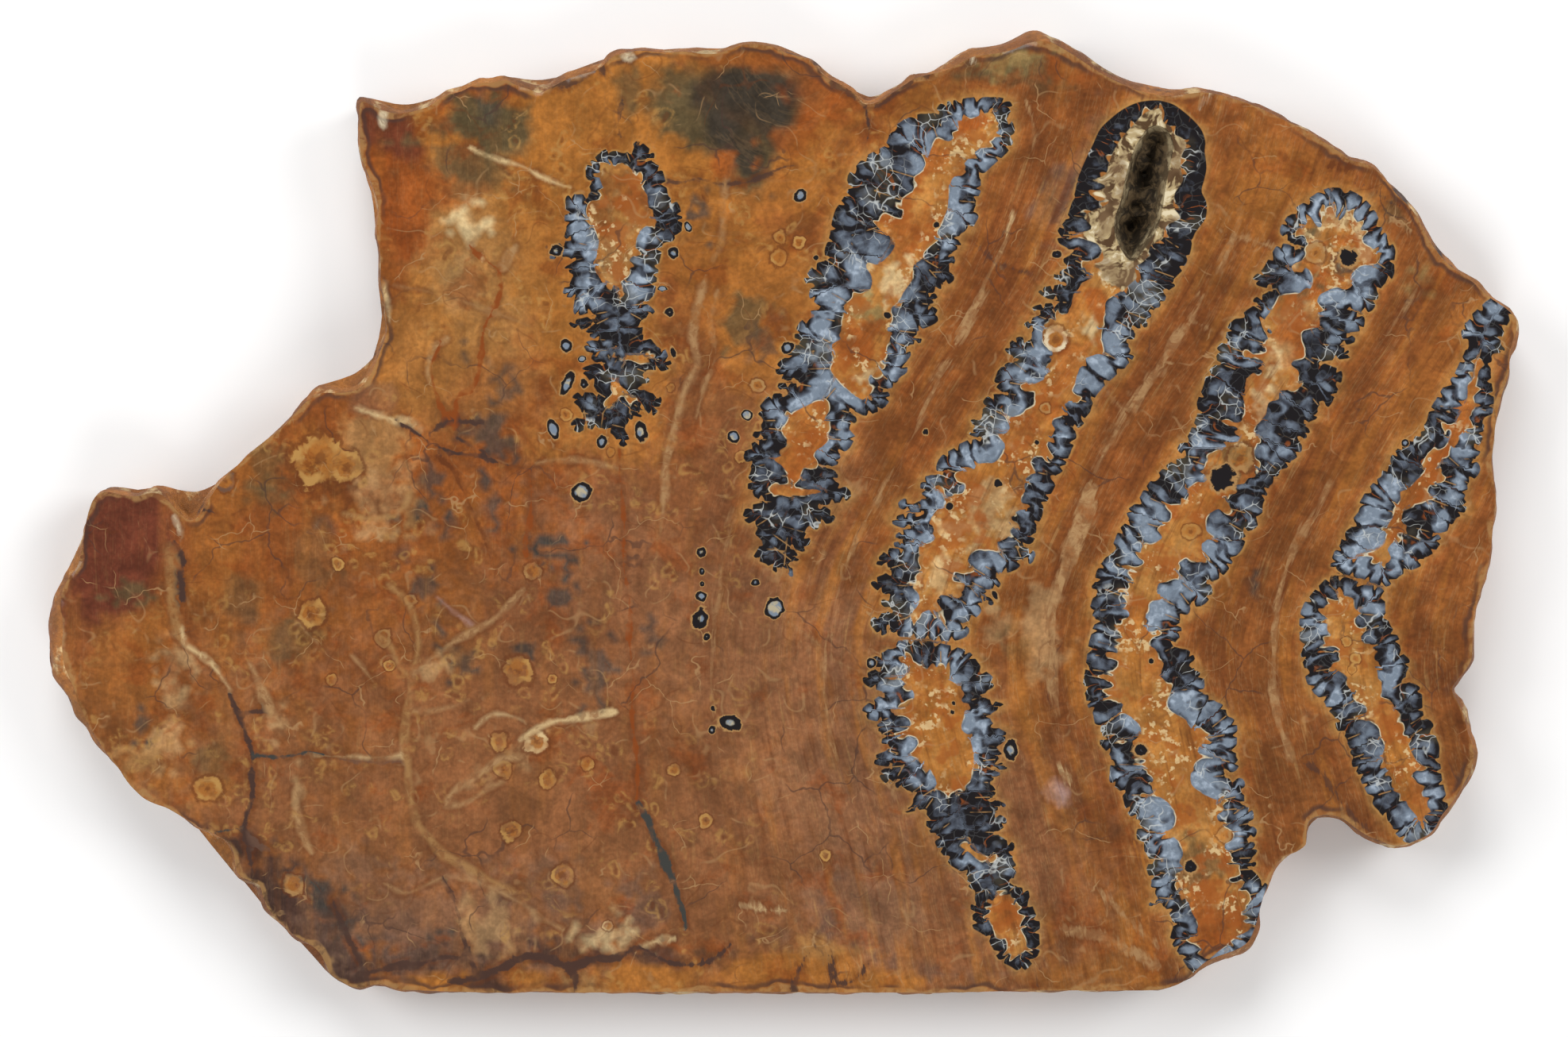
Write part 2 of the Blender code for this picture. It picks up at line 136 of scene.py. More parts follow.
THIRD_OUTER: Points = [
    (30.4, 33.4), (29, 33.25), (27.75, 32.7), (26.75, 31.95), (25.85, 31.05), (25.25, 29.8), (24.6, 28.45),
    (24.05, 27.05), (23.8, 25.8), (23.5, 24.8), (23.1, 23.65), (22.5, 22.8), (22.55, 21.9), (23.2, 21.5),
    (23.6, 20.9), (22.9, 20.4), (22.9, 19.6), (22.1, 19.1), (22.9, 18.5), (20.9, 18), (21.6, 17.4),
    (22.9, 17), (20.5, 16.6), (21, 15.9), (19.7, 15.35), (20.4, 14.6), (20.2, 13.8), (19.2, 14.1),
    (18.2, 13.2), (18.9, 12.6), (18.9, 12), (17.9, 12), (17.6, 11.35), (17.35, 10.3), (18.2, 9.55),
    (16.9, 9.35), (16.35, 8.75), (16.4, 7.9), (15.45, 7.4), (15.8, 6.9), (15.25, 6.4), (16, 5.9), (15, 5.65),
    (14.1, 5.15), (13, 4.4), (12.6, 3.5), (12.85, 2.95), (11.65, 2.75), (11.3, 2), (11.5, 1.3), (11.1, 0.6),
    (10.05, 0.95), (9.5, 0.5), (10.35, 0.05), (11.4, -0.1), (9.75, -0.3), (8.95, -0.8), (9.6, -1.2),
    (10.3, -1.35), (9.25, -2), (9.8, -2.4), (9.1, -2.7), (9.8, -3.1), (8.65, -3.1), (8.1, -3.65),
    (7.65, -4.2), (8.9, -4.55), (8.7, -5), (7.35, -5.7), (7.7, -6.3), (8.7, -6.8), (8.1, -7.4), (8.8, -8.2),
    (7.6, -8.5), (7.3, -9.2), (8.15, -10), (8.8, -9.4), (9.1, -10), (10.05, -10.1), (11.35, -10.3),
    (12.7, -10.4), (13.85, -10.45), (14.9, -10.1), (15.1, -9.5), (14.4, -8.95), (15.15, -8.85), (15.9, -8.35),
    (16.2, -7.6), (16, -6.9), (17.05, -7.6), (16.9, -7), (16.35, -6.3), (17.5, -6.15), (17.7, -5.4),
    (17.4, -4.9), (18.5, -4.85), (19.25, -4.4), (19.45, -3.65), (20.15, -4.2), (20.5, -3.5), (20.15, -3.15),
    (19.4, -2.95), (20.3, -2.5), (20.55, -1.65), (20.55, -1.2), (21, -0.5), (21.1, 0), (21.35, 0.7),
    (21.8, 1.45), (22.1, 2.15), (22.1, 2.9), (22.75, 3.35), (23.1, 4.2), (23.55, 5.25), (23.85, 6.1),
    (23.7, 6.7), (24.35, 7.05), (24.5, 7.55), (24.95, 8.15), (25.25, 9.05), (25.8, 9.9), (26.85, 10.95),
    (27.6, 11.5), (28.1, 12.1), (28.55, 12.7), (28, 13.5), (28.65, 14.25), (28.4, 14.8), (29.65, 15.1),
    (29.4, 15.6), (30, 15.9), (30.15, 16.5), (30.9, 16.85), (31.25, 17.9), (32, 18.5), (31.8, 19),
    (32.25, 19.4), (32.75, 20.15), (33.15, 21.15), (33.5, 22.5), (34.4, 23.8), (34.5, 25.05), (34.1, 26),
    (34.3, 26.9), (34.5, 27.95), (34.35, 29.2), (34.4, 30.05), (34.05, 31.05), (33.15, 32.05), (32, 32.95),
    (31.25, 33.25),
]
THIRD_CORE: Points = [
    (30.65, 32.8), (29.5, 32.45), (28.5, 31.45), (27.5, 30.3), (26.85, 29.2), (26.5, 28.3), (26.25, 27.4),
    (25.1, 26.9), (26.25, 26.4), (25.1, 25.8), (26.5, 25.15), (24.5, 24.05), (25.1, 23), (23.4, 22.4),
    (25.1, 21.9), (25.75, 21.5), (26, 20.4), (24.5, 20), (25.1, 19.25), (24.4, 18.25), (24, 17.6),
    (23.6, 16.4), (22.35, 16), (21.9, 15.2), (21.1, 14.85), (21.1, 13.7), (22.2, 12.4), (21.75, 11.65),
    (21.4, 11.05), (20.6, 10.55), (19.3, 10.25), (20.5, 9.8), (20.5, 9.3), (20.3, 8.6), (18.95, 7.85),
    (17.8, 8), (18.4, 7.3), (18.15, 6.5), (17.2, 6.4), (17.95, 5.35), (17.35, 4.2), (16.05, 4.05),
    (15.6, 3.65), (14.2, 3.05), (14.75, 2.45), (14.6, 1.45), (13.55, 1.2), (12.4, 2), (13.1, 1),
    (13.05, 0.05), (12, -0.45), (12.4, -1.05), (12.55, -1.6), (12.1, -2.35), (11.3, -2.65), (11.5, -3.65),
    (11.2, -4.2), (11.5, -4.7), (10.9, -5.1), (10.9, -5.65), (10.4, -6.15), (10.95, -6.75), (10.95, -7.45),
    (10.4, -8.2), (10.3, -8.7), (11.1, -8.9), (11.5, -8.35), (12.4, -8.2), (13.2, -9.1), (12.4, -7.45),
    (12.6, -7.05), (13.4, -6.9), (14.3, -6.8), (14.1, -6.3), (14.7, -6.1), (14, -5.55), (14.3, -4.9),
    (15.45, -4.55), (15.25, -3.95), (15.75, -3.3), (16.75, -3.25), (17.8, -3.4), (17.6, -2.65), (18.1, -2.15),
    (18.95, -2.2), (18.65, -1.6), (19.25, -1.2), (18.55, -0.9), (18.55, -0.3), (19.25, -0.1), (19.85, 0.25),
    (19.55, 1), (19.85, 1.6), (19.9, 2.45), (20.3, 2.9), (20.85, 3.05), (20.35, 3.9), (20.7, 4.35),
    (21.75, 4.35), (21.6, 5.25), (21.9, 5.8), (21.75, 6.4), (22.45, 6.6), (22.05, 7.3), (22.9, 7.7),
    (22.9, 8.45), (23.5, 8.9), (24.05, 9.05), (23.65, 9.6), (23.95, 10.35), (24.2, 11.35), (24.65, 12.25),
    (25.55, 12.6), (26.25, 12.85), (26.1, 13.85), (25.8, 14.45), (25.75, 15.1), (26.4, 16), (26.4, 17),
    (27.6, 17.75), (28.3, 18.4), (28.9, 19), (28.75, 19.75), (29.65, 20.5), (30, 21.5), (31, 22.15),
    (31.25, 23.15), (32.4, 23.8), (31.9, 24.65), (31.9, 25.15), (32, 25.9), (32.65, 26.9), (32.5, 27.7),
    (32.5, 28.8), (32.9, 29.7), (32.65, 30.3), (31.9, 30.7), (31.65, 31.3), (31, 31.7), (30.9, 32.6),
]
THIRD_LOWER_OUTER: Points = [
    (11.55, -10.6), (9.5, -10.6), (8.8, -11.2), (7.8, -11.75), (7.1, -12.2), (7.95, -12.7), (6.8, -13.3),
    (6.7, -13.9), (7.5, -14.35), (8.4, -14.65), (7.8, -15.2), (6.7, -15.95), (6.7, -16.6), (7.35, -16.9),
    (8.25, -17.05), (7.65, -17.55), (8.2, -18), (8.2, -18.95), (8.75, -19.4), (7.55, -19.95), (7.65, -20.5),
    (8.9, -20.7), (7.95, -21.3), (8.6, -22.05), (9.35, -21.6), (9.35, -22.4), (10.6, -22.7), (10.7, -23.8),
    (10, -24.4), (11.7, -24.1), (11.85, -24.7), (11.85, -25.95), (12.65, -26.1), (12.5, -26.9), (13.25, -28),
    (13.9, -28.8), (15.1, -29.5), (15.15, -30.35), (15.75, -30.8), (15.75, -31.6), (15.4, -32.05),
    (15.6, -33.15), (15.6, -33.8), (16.55, -34.4), (17.15, -35.35), (17.65, -36.3), (18.6, -36.9),
    (19.5, -37.3), (20.3, -36.6), (20.85, -35.65), (20.8, -34.55), (20.85, -33.45), (20.45, -32.55),
    (20.05, -31.6), (19.9, -30.8), (18.9, -30.5), (18.75, -29.7), (19.05, -28.95), (18.6, -28.15),
    (18.8, -27.05), (18.1, -26.75), (17.35, -26.1), (18.1, -25.5), (18, -24.9), (17, -24.4), (18.1, -23.85),
    (16.85, -23.3), (17.55, -22.7), (16.7, -22.05), (17.65, -21.45), (17.1, -21), (18.25, -20.8),
    (17.3, -20.2), (17.8, -19.8), (17.3, -19.2), (17.8, -18.8), (18.3, -18.15), (17.35, -17.55),
    (16.85, -16.9), (17, -16.3), (17.95, -15.8), (17.35, -15.5), (16.4, -15.2), (16.55, -14.55),
    (17.2, -14.1), (17, -13.45), (16.4, -13), (15.9, -12.4), (15.15, -11.5), (13.9, -11.05), (12.65, -10.75),
]
THIRD_LOWER_CORE: Points = [
    (10.15, -11.75), (9.7, -12.2), (10.3, -12.7), (9.85, -13.3), (8.5, -13.6), (9.65, -13.85), (10.3, -14.4),
    (10.6, -15.05), (10.15, -15.8), (9.1, -16.1), (10.15, -16.75), (10.3, -17.4), (9.5, -18.1),
    (10.75, -18.45), (10.9, -19.1), (10.2, -19.8), (11.25, -20.3), (11.85, -20.95), (12.4, -22),
    (12.3, -22.7), (13.1, -22.9), (13.6, -23.7), (13.8, -23), (14.8, -22.55), (15.45, -21.9), (15.6, -20.95),
    (15.75, -20), (15.6, -19.1), (15.4, -18.5), (14.75, -17.7), (14.9, -16.8), (15, -15.95), (14.5, -15.35),
    (14.5, -14.55), (14.2, -13.85), (13.5, -13.45), (13.4, -12.55), (12.8, -12.2), (12.3, -12.7),
    (11.55, -12.6), (10.9, -12.15),
]
THIRD_NECK_CORE: Points = [
    (14.3, -27.2), (15, -26.7), (15.6, -27.4), (16.6, -27.9), (17.2, -28), (16.2, -28.6), (15.2, -27.9),
]
THIRD_LAST_CORE: Points = [
    (18.1, -31.1), (17.15, -31.3), (16.85, -32.2), (16.7, -33.3), (17.35, -34.1), (18.1, -34.9),
    (18.25, -35.95), (18.9, -36.2), (19.85, -35.8), (20, -35), (19.5, -33.8), (19.35, -32.7), (18.75, -31.75),
]
FOURTH_OUTER: Points = [
    (44.6, 26.2), (43.6, 25.85), (42.85, 25.3), (41.9, 24.65), (41.05, 23.8), (40.55, 22.95), (40.75, 22.4),
    (41.9, 21.5), (40.5, 21.65), (39.9, 20.95), (39.4, 20.1), (39, 19.45), (38.35, 18.95), (38.65, 18.45),
    (39.75, 18.1), (39.3, 17.6), (38.4, 17.25), (38.5, 16.8), (38, 16.4), (37.2, 15.8), (36.35, 15.1),
    (36.15, 14.1), (35.35, 13.1), (35.45, 12.1), (34.65, 11.25), (34.3, 10.1), (33.8, 8.85), (33.9, 8.1),
    (33.5, 7), (33, 6), (32.2, 5.1), (33, 4.4), (31.95, 4.1), (31, 3.4), (30.05, 2.45), (29.4, 1.6),
    (29, 0.8), (28.1, 0), (28.3, -0.7), (27.6, -1.35), (27.15, -2.3), (26.75, -3.25), (26.15, -4.1),
    (25.6, -4.95), (25.6, -5.7), (25.25, -6.1), (25.4, -6.8), (25.1, -7.9), (25.2, -8.3), (25.6, -8.7),
    (25.3, -9.65), (25, -10.85), (24.85, -11.95), (24.7, -13.05), (24.55, -14), (24.75, -14.9),
    (24.9, -15.75), (25.3, -16.3), (25.6, -17.4), (26.2, -18.2), (25.9, -18.85), (26.8, -19.85),
    (26.75, -20.9), (26.7, -21.9), (27.3, -22.45), (27.7, -22.9), (27.95, -23.9), (28.4, -24.75),
    (29.2, -25.1), (28.9, -26.05), (29.05, -26.8), (29.7, -27.8), (30, -28.4), (29.7, -29.1), (30.1, -29.9),
    (30.1, -30.7), (30.7, -31.5), (29.8, -31.95), (31.1, -32.05), (31.7, -32.95), (31.85, -33.8),
    (31.65, -34.8), (32.35, -35.95), (33.1, -37.1), (33.4, -38), (34.5, -39.5), (37.5, -39), (40, -36),
    (40.3, -32), (39.4, -30.4), (38.85, -30.05), (38.5, -29.55), (38, -29.05), (38.5, -28.65), (38, -28.3),
    (38.5, -27.65), (38.4, -27.1), (37.9, -26.8), (38.35, -26.4), (38.5, -25.9), (38.1, -25.5),
    (38.25, -24.75), (38.1, -24.25), (37.5, -24), (37.5, -23), (37.5, -22), (37.1, -21.75), (36, -21.75),
    (35.9, -21.2), (36.75, -21.05), (37.1, -20.5), (36.8, -19.9), (36.85, -19), (36.9, -17.75), (36.75, -17),
    (36.1, -16.7), (36, -16.2), (35.75, -15.75), (35.2, -15.55), (34.8, -15.05), (34.1, -14.9), (34.25, -14),
    (34, -13.2), (33.3, -12.9), (33.5, -12.1), (33.05, -11.4), (32.2, -11.2), (31.8, -11), (31.95, -10.45),
    (32.35, -10.05), (32.35, -9.35), (32.2, -8.8), (33.05, -8.15), (33.05, -7.45), (33.85, -7.65),
    (34.55, -7.2), (34.9, -6.4), (34.65, -5.7), (35.35, -5.45), (36.15, -4.75), (36.7, -3.8), (37.4, -2.85),
    (37.6, -2.05), (37.3, -1.65), (38.35, -1.35), (38.9, -0.3), (39, 0.55), (39.4, 1.6), (39.55, 2.15),
    (40.25, 2.7), (40.35, 3.4), (41.05, 3.65), (41.3, 4.2), (41.75, 4.4), (42.2, 5.15), (41.9, 5.75),
    (42.75, 6.15), (42.7, 6.7), (42.3, 7), (42.75, 7.3), (43.5, 7.7), (43.4, 8.3), (43.7, 8.8), (44.35, 8.55),
    (44.75, 9.2), (45.2, 10.15), (45.45, 10.85), (45.35, 11.4), (44.5, 11.75), (43.75, 12.2), (44.9, 12.4),
    (46.05, 12.55), (45.9, 13.1), (45.2, 13.4), (46.5, 13.85), (46.2, 14.25), (45.8, 14.6), (47.05, 14.8),
    (47.25, 15.7), (46.75, 16.1), (46.1, 16.5), (47.6, 16.25), (48.25, 16.95), (48.4, 17.8), (48.9, 18.55),
    (49.6, 19.1), (49.65, 20.25), (49.75, 21.25), (49.3, 22.1), (48.75, 22.8), (48.45, 23.65), (47.9, 24.65),
    (47.05, 25.5), (45.9, 26.1),
]
FOURTH_CORE: Points = [
    (44.75, 24.9), (44.05, 24.6), (44.2, 23.8), (43.6, 23.2), (42.8, 23.9), (42.35, 23.25), (41.9, 22.6),
    (42.9, 22.1), (42.35, 21.4), (42.5, 20.5), (41.2, 19.9), (42.6, 19.6), (43, 18.8), (42.5, 17.95),
    (40.5, 17.7), (39.9, 16.8), (38.9, 15.25), (39.65, 14.55), (39.05, 13.7), (39.2, 13), (37.7, 12.8),
    (39.05, 12), (38.8, 11.25), (38.05, 10.7), (37.9, 10), (37.35, 9.25), (37.5, 8.25), (37.2, 7.4),
    (35.9, 7.4), (37.2, 6.4), (36.65, 5.55), (35.8, 5.3), (35.35, 4.7), (34.3, 3.9), (34.4, 2.5), (33.6, 2.3),
    (32.9, 2.05), (32.9, 1.35), (32.5, 0.7), (31, 0.6), (31.55, -0.3), (31.15, -0.9), (30.6, -1.25),
    (30.9, -1.9), (30.05, -2.5), (29.4, -2.45), (29, -3.25), (29.25, -4.1), (29.25, -4.7), (28.55, -4.8),
    (27.75, -4.6), (28.15, -5.3), (28.45, -5.85), (28.3, -6.65), (27.4, -6.7), (27.9, -7.35), (27.6, -7.75),
    (26.5, -7.95), (27.9, -8.15), (28.1, -8.8), (27.6, -9.3), (27.05, -9.5), (27.5, -10.2), (27.35, -10.7),
    (26.6, -10.9), (27.2, -11.4), (26.4, -11.8), (27.2, -12.2), (26.95, -12.75), (26.1, -13), (26.8, -13.4),
    (25.95, -13.5), (26.8, -14.1), (26.65, -14.5), (25.95, -15.05), (27.2, -15.2), (27.6, -16), (26.9, -16.8),
    (27.75, -16.55), (28.55, -17.1), (29, -17.65), (28.85, -18.45), (27.4, -18.75), (29.3, -18.85),
    (29.45, -19.6), (29.45, -20.25), (28.3, -20.6), (29.3, -20.8), (29.95, -21.4), (30.2, -22.25),
    (30.1, -22.9), (29.4, -23.1), (30.7, -23.4), (31.45, -24), (31.85, -24.75), (31.7, -25.55),
    (30.6, -26.15), (31.45, -26.5), (32.1, -26.9), (32.45, -27.8), (32.1, -28.5), (32.45, -29.05),
    (31.7, -29.4), (32.2, -30.2), (32.45, -30.8), (32.95, -31.95), (33.2, -32.7), (33.6, -33.45),
    (33.7, -34.3), (33.2, -34.95), (33.95, -35.6), (34.6, -36.45), (35.6, -35.85), (36.85, -34.8),
    (38, -34.2), (38.25, -33.7), (37.6, -33.2), (37.5, -32.2), (37.75, -31.3), (37.25, -30.8), (37.4, -30.3),
    (36.35, -30.1), (36.75, -29.55), (37, -29.05), (36.25, -28.5), (36.6, -27.8), (35.85, -27.3),
    (36.7, -26.8), (36.8, -26.05), (35.85, -25.4), (35.5, -24.75), (36, -24.25), (35.35, -23.75),
    (35.9, -23.4), (35.1, -23.2), (34.2, -22.75), (33.45, -22.15), (33.35, -21.4), (33.6, -20.65),
    (34.3, -20.15), (35.8, -20.2), (34, -19.6), (34.2, -19.1), (34.7, -18.5), (33.85, -17.85), (33.2, -17.35),
    (32.95, -16.85), (32.35, -16.5), (31.6, -16.1), (31.4, -15.5), (31.7, -14.65), (31.3, -14.1),
    (31.15, -13.6), (30.75, -13.15), (30.75, -12.2), (30.6, -11.25), (29.8, -10.6), (29.9, -10.05),
    (30.6, -9.75), (29.65, -9.5), (29.5, -8.8), (29.9, -8.15), (30.05, -7.45), (31.2, -7.2), (30.6, -6.5),
    (30.9, -5.7), (31.55, -5.3), (32.6, -5.9), (31.95, -4.9), (32.35, -4.2), (33.3, -3.8), (34.4, -3.9),
    (34.25, -3), (34.4, -2.45), (35.35, -2.2), (34.65, -1.5), (34.65, -0.55), (35.35, 0), (36.4, 0.15),
    (35.75, 0.95), (36.3, 1.3), (37.1, 2.15), (37.9, 2.7), (38.3, 3.2), (38.6, 4), (38.5, 5), (38.75, 5.55),
    (38.5, 6.55), (39.05, 7.3), (39.5, 7.85), (39.65, 8.7), (40.5, 9), (40.65, 9.85), (41.9, 10.2),
    (41.9, 11), (41.5, 12), (42.5, 12.4), (42.6, 13.1), (42.35, 14.55), (43.75, 14.9), (43.75, 15.95),
    (43.6, 17.1), (44.35, 17.95), (45.9, 18.3), (46.35, 19.1), (47.05, 19.8), (48.3, 20.1), (48.3, 21.25),
    (47.3, 21.95), (47.2, 22.95), (46.75, 23.65), (45.9, 24.6), (45.3, 23.8),
]
FIFTH_OUTER: Points = [
    (57.75, 17.3), (57.1, 16.85), (56.2, 16), (55.8, 15.4), (55.3, 15), (55.3, 14.35), (55.6, 13.55),
    (55.55, 12.9), (55.05, 11.85), (54.65, 11), (53.75, 9.95), (53.2, 9.05), (52.7, 8.15), (52.45, 7.25),
    (51.95, 6.6), (52.05, 6.05), (51.2, 5.95), (50.5, 5.5), (49.85, 4.75), (49.5, 4.25), (49.6, 3.8),
    (48.9, 3.35), (48.8, 2.8), (48.3, 2.45), (47.55, 1.55), (47, 0.65), (46.95, 0), (46.45, -0.75),
    (46.4, -1.3), (45.75, -1.8), (45.35, -2.85), (44.95, -3.35), (44.65, -4.4), (45.1, -4.9), (46.1, -5.2),
    (47.15, -5.4), (48.05, -5.8), (49.1, -6.05), (50, -5.3), (50.9, -4.75), (51.8, -4.4), (52.05, -3.75),
    (52.85, -3.35), (53.5, -2.3), (52.9, -1.7), (53.75, -1.6), (54.5, -1.15), (54.65, -0.5), (55.35, -0.15),
    (55.55, 0.65), (55.3, 1.1), (55.6, 1.55), (55.65, 2.3), (56.45, 2.95), (56.65, 3.6), (56.2, 4.25),
    (56.65, 4.8), (56.45, 5.3), (56.85, 5.95), (57, 7), (57.6, 7.9), (57.75, 8.9), (57.65, 10.05),
    (57.5, 11.25), (57.65, 12.25), (57.75, 12.9), (58.7, 13), (58.3, 13.6), (58.5, 14.45), (58.9, 15.25),
    (59.4, 16), (60.6, 17.2), (58.8, 18.4),
]
FIFTH_CORE: Points = [
    (56.45, 12.6), (56.2, 11.6), (56.05, 10.85), (55.55, 10.2), (55.55, 9.55), (55.3, 8.8), (54.1, 8.4),
    (55.15, 8), (54.75, 7.25), (53.85, 7.1), (54.25, 6.45), (54, 5.7), (53.6, 5.15), (52.85, 4.65),
    (52.45, 4), (51.95, 3.1), (51.4, 2.6), (50.75, 1.95), (50.1, 1.7), (50.1, 0.9), (49.6, 0.25),
    (49.5, -0.4), (49.1, -1), (49.05, -1.55), (48.85, -2.45), (48.3, -2.95), (47.8, -3.2), (46.4, -3.5),
    (46.4, -3.85), (47.8, -3.75), (48.6, -4.25), (49.6, -3.85), (49.35, -3.1), (49.85, -2.55), (50, -1.95),
    (50.5, -1.8), (50.4, -1), (50.5, -0.1), (51.05, 0.4), (51.95, 0.55), (52.85, 1.05), (52.55, 1.7),
    (52.95, 2.2), (53.6, 2.6), (53.2, 3.6), (53.6, 4.15), (54.25, 4.4), (54.5, 5.4), (55.3, 6.2), (55.95, 7),
    (55.8, 7.75), (56.45, 8.4), (56.3, 9.4), (56.55, 10.35), (56.75, 11.35), (56.75, 12.4),
]
FIFTH_LOWER_OUTER: Points = [
    (44.65, -5.3), (43.9, -5.9), (42.95, -6.95), (42.35, -7.85), (42.15, -8.8), (42.15, -9.85), (42.2, -10.9),
    (42.3, -11.95), (42.55, -12.75), (42.7, -13.8), (43.35, -14.75), (44.15, -15.4), (44.4, -16.05),
    (45.05, -16.75), (45.15, -17.65), (46, -18.45), (46, -19.4), (46.5, -19.9), (46.4, -20.6), (46.9, -21.35),
    (47.2, -22.05), (47.65, -22.85), (48.1, -23.75), (48.8, -24.55), (49.55, -25.35), (49.95, -26.15),
    (50.75, -26.8), (51.8, -27), (52.9, -26.8), (53.7, -26.1), (54.2, -24.8), (54, -23.75), (53.8, -22.85),
    (53.55, -21.75), (53.4, -20.6), (53.3, -19.9), (53.3, -19), (52.9, -17.95), (52.75, -17.15),
    (52.1, -16.75), (51.95, -15.8), (51.9, -14.6), (51.4, -14.1), (50.65, -13.95), (50.65, -13.05),
    (50.95, -12.25), (50.5, -11.7), (50.15, -11.15), (50.1, -10.4), (49.45, -9.45), (49.15, -8.8), (48.9, -8),
    (48.95, -7.2), (48.8, -6.4), (48, -6.1), (47.05, -6), (46.4, -5.6), (45.6, -5.4),
]
FIFTH_LOWER_CORE: Points = [
    (45.6, -6.65), (44.95, -6.4), (45.2, -7.35), (44.4, -7.35), (43.85, -7.85), (44.15, -8.65), (44.15, -9.7),
    (44.45, -10.25), (43.5, -11.15), (45.05, -11.15), (45.2, -12.1), (44.65, -12.75), (45.6, -13.4),
    (46.5, -14.5), (46.4, -15.4), (47.2, -15.8), (47.4, -16.35), (46.8, -16.9), (47.7, -17.15),
    (48.4, -17.65), (48.5, -18.3), (48.8, -18.85), (48.65, -19.65), (47.8, -20), (48.9, -20.2), (48.9, -21),
    (49.45, -21.35), (49.85, -22.05), (49.45, -22.7), (50.35, -23.2), (50.75, -24), (51.3, -24.7),
    (51.95, -25.6), (52.35, -24.8), (53, -24.4), (52.6, -23.9), (52.2, -23.2), (52.1, -22.7), (51.4, -21.9),
    (51.4, -21.35), (52.1, -20.85), (51.7, -20.2), (51.3, -19.5), (51.05, -18.85), (51.05, -18.2),
    (50.5, -18.05), (50.25, -17.4), (49.85, -17), (49.95, -16.35), (49.55, -15.8), (48.8, -15.15),
    (48.9, -14.5), (48.65, -13.8), (48.5, -12.9), (48.1, -12.1), (48.25, -11.15), (47.9, -10.8),
    (47.2, -10.4), (47.3, -9.7), (46.8, -9.3), (46.65, -8.8), (47.3, -8.25), (46.65, -7.75), (46.5, -6.95),
]


class Tint(Enum):
    """The stone's colours, linear red, green and blue."""

    OCHRE = (0.374, 0.138, 0.024)
    AMBER = (0.379, 0.178, 0.050)
    HONEY = (0.450, 0.243, 0.069)
    CORE = (0.443, 0.171, 0.034)
    DENTINE = (0.266, 0.083, 0.018)
    DARK_DENTINE = (0.119, 0.032, 0.008)
    BROWN = (0.226, 0.077, 0.019)
    RUST = (0.227, 0.050, 0.007)
    RED_EARTH = (0.312, 0.081, 0.013)
    WINE = (0.130, 0.032, 0.015)
    MAUVE = (0.230, 0.111, 0.058)
    PLUM = (0.120, 0.066, 0.045)
    DARK_PLUM = (0.060, 0.030, 0.022)
    OLIVE = (0.105, 0.072, 0.030)
    MOSS = (0.260, 0.190, 0.070)
    BLACK_OLIVE = (0.040, 0.030, 0.020)
    TEAL = (0.045, 0.045, 0.040)
    TAN = (0.378, 0.207, 0.075)
    PALE = (0.405, 0.236, 0.104)
    CREAM = (0.660, 0.480, 0.240)
    IVORY = (0.720, 0.620, 0.420)
    PINK = (0.386, 0.235, 0.199)


@dataclass(frozen=True)
class Stain:
    """A soft patch of colour: its tint, middle, half sizes, turn, strength and how ragged its edge is."""

    tint: Tint
    x: float
    y: float
    half_width: float
    half_height: float
    turn_deg: float = 0.0
    strength: float = 1.0
    ragged: float = 0.35

    def share(self, points: np.ndarray) -> np.ndarray:
        """How much of the stain each point takes.

        Args:
            points: rows of x and y.

        Returns:
            The strength times 1 - smoothstep of the ellipse's radius, which noise makes ragged.
        """
        local = turned(points, self.x, self.y, self.turn_deg) / (self.half_width, self.half_height)
        near = np.flatnonzero((local**2).sum(1) < 6.0)
        size = max(min(self.half_width, self.half_height), 0.5)
        noise = soft_noise(points[near], 0.9 * size, 21) + 0.6 * soft_noise(points[near], 0.4, 22)
        share = np.zeros(len(points))
        radius = np.linalg.norm(local[near], axis=1) * (1.0 + self.ragged * noise)
        share[near] = self.strength * smoothstep(1.25, 0.75, radius)
        return share


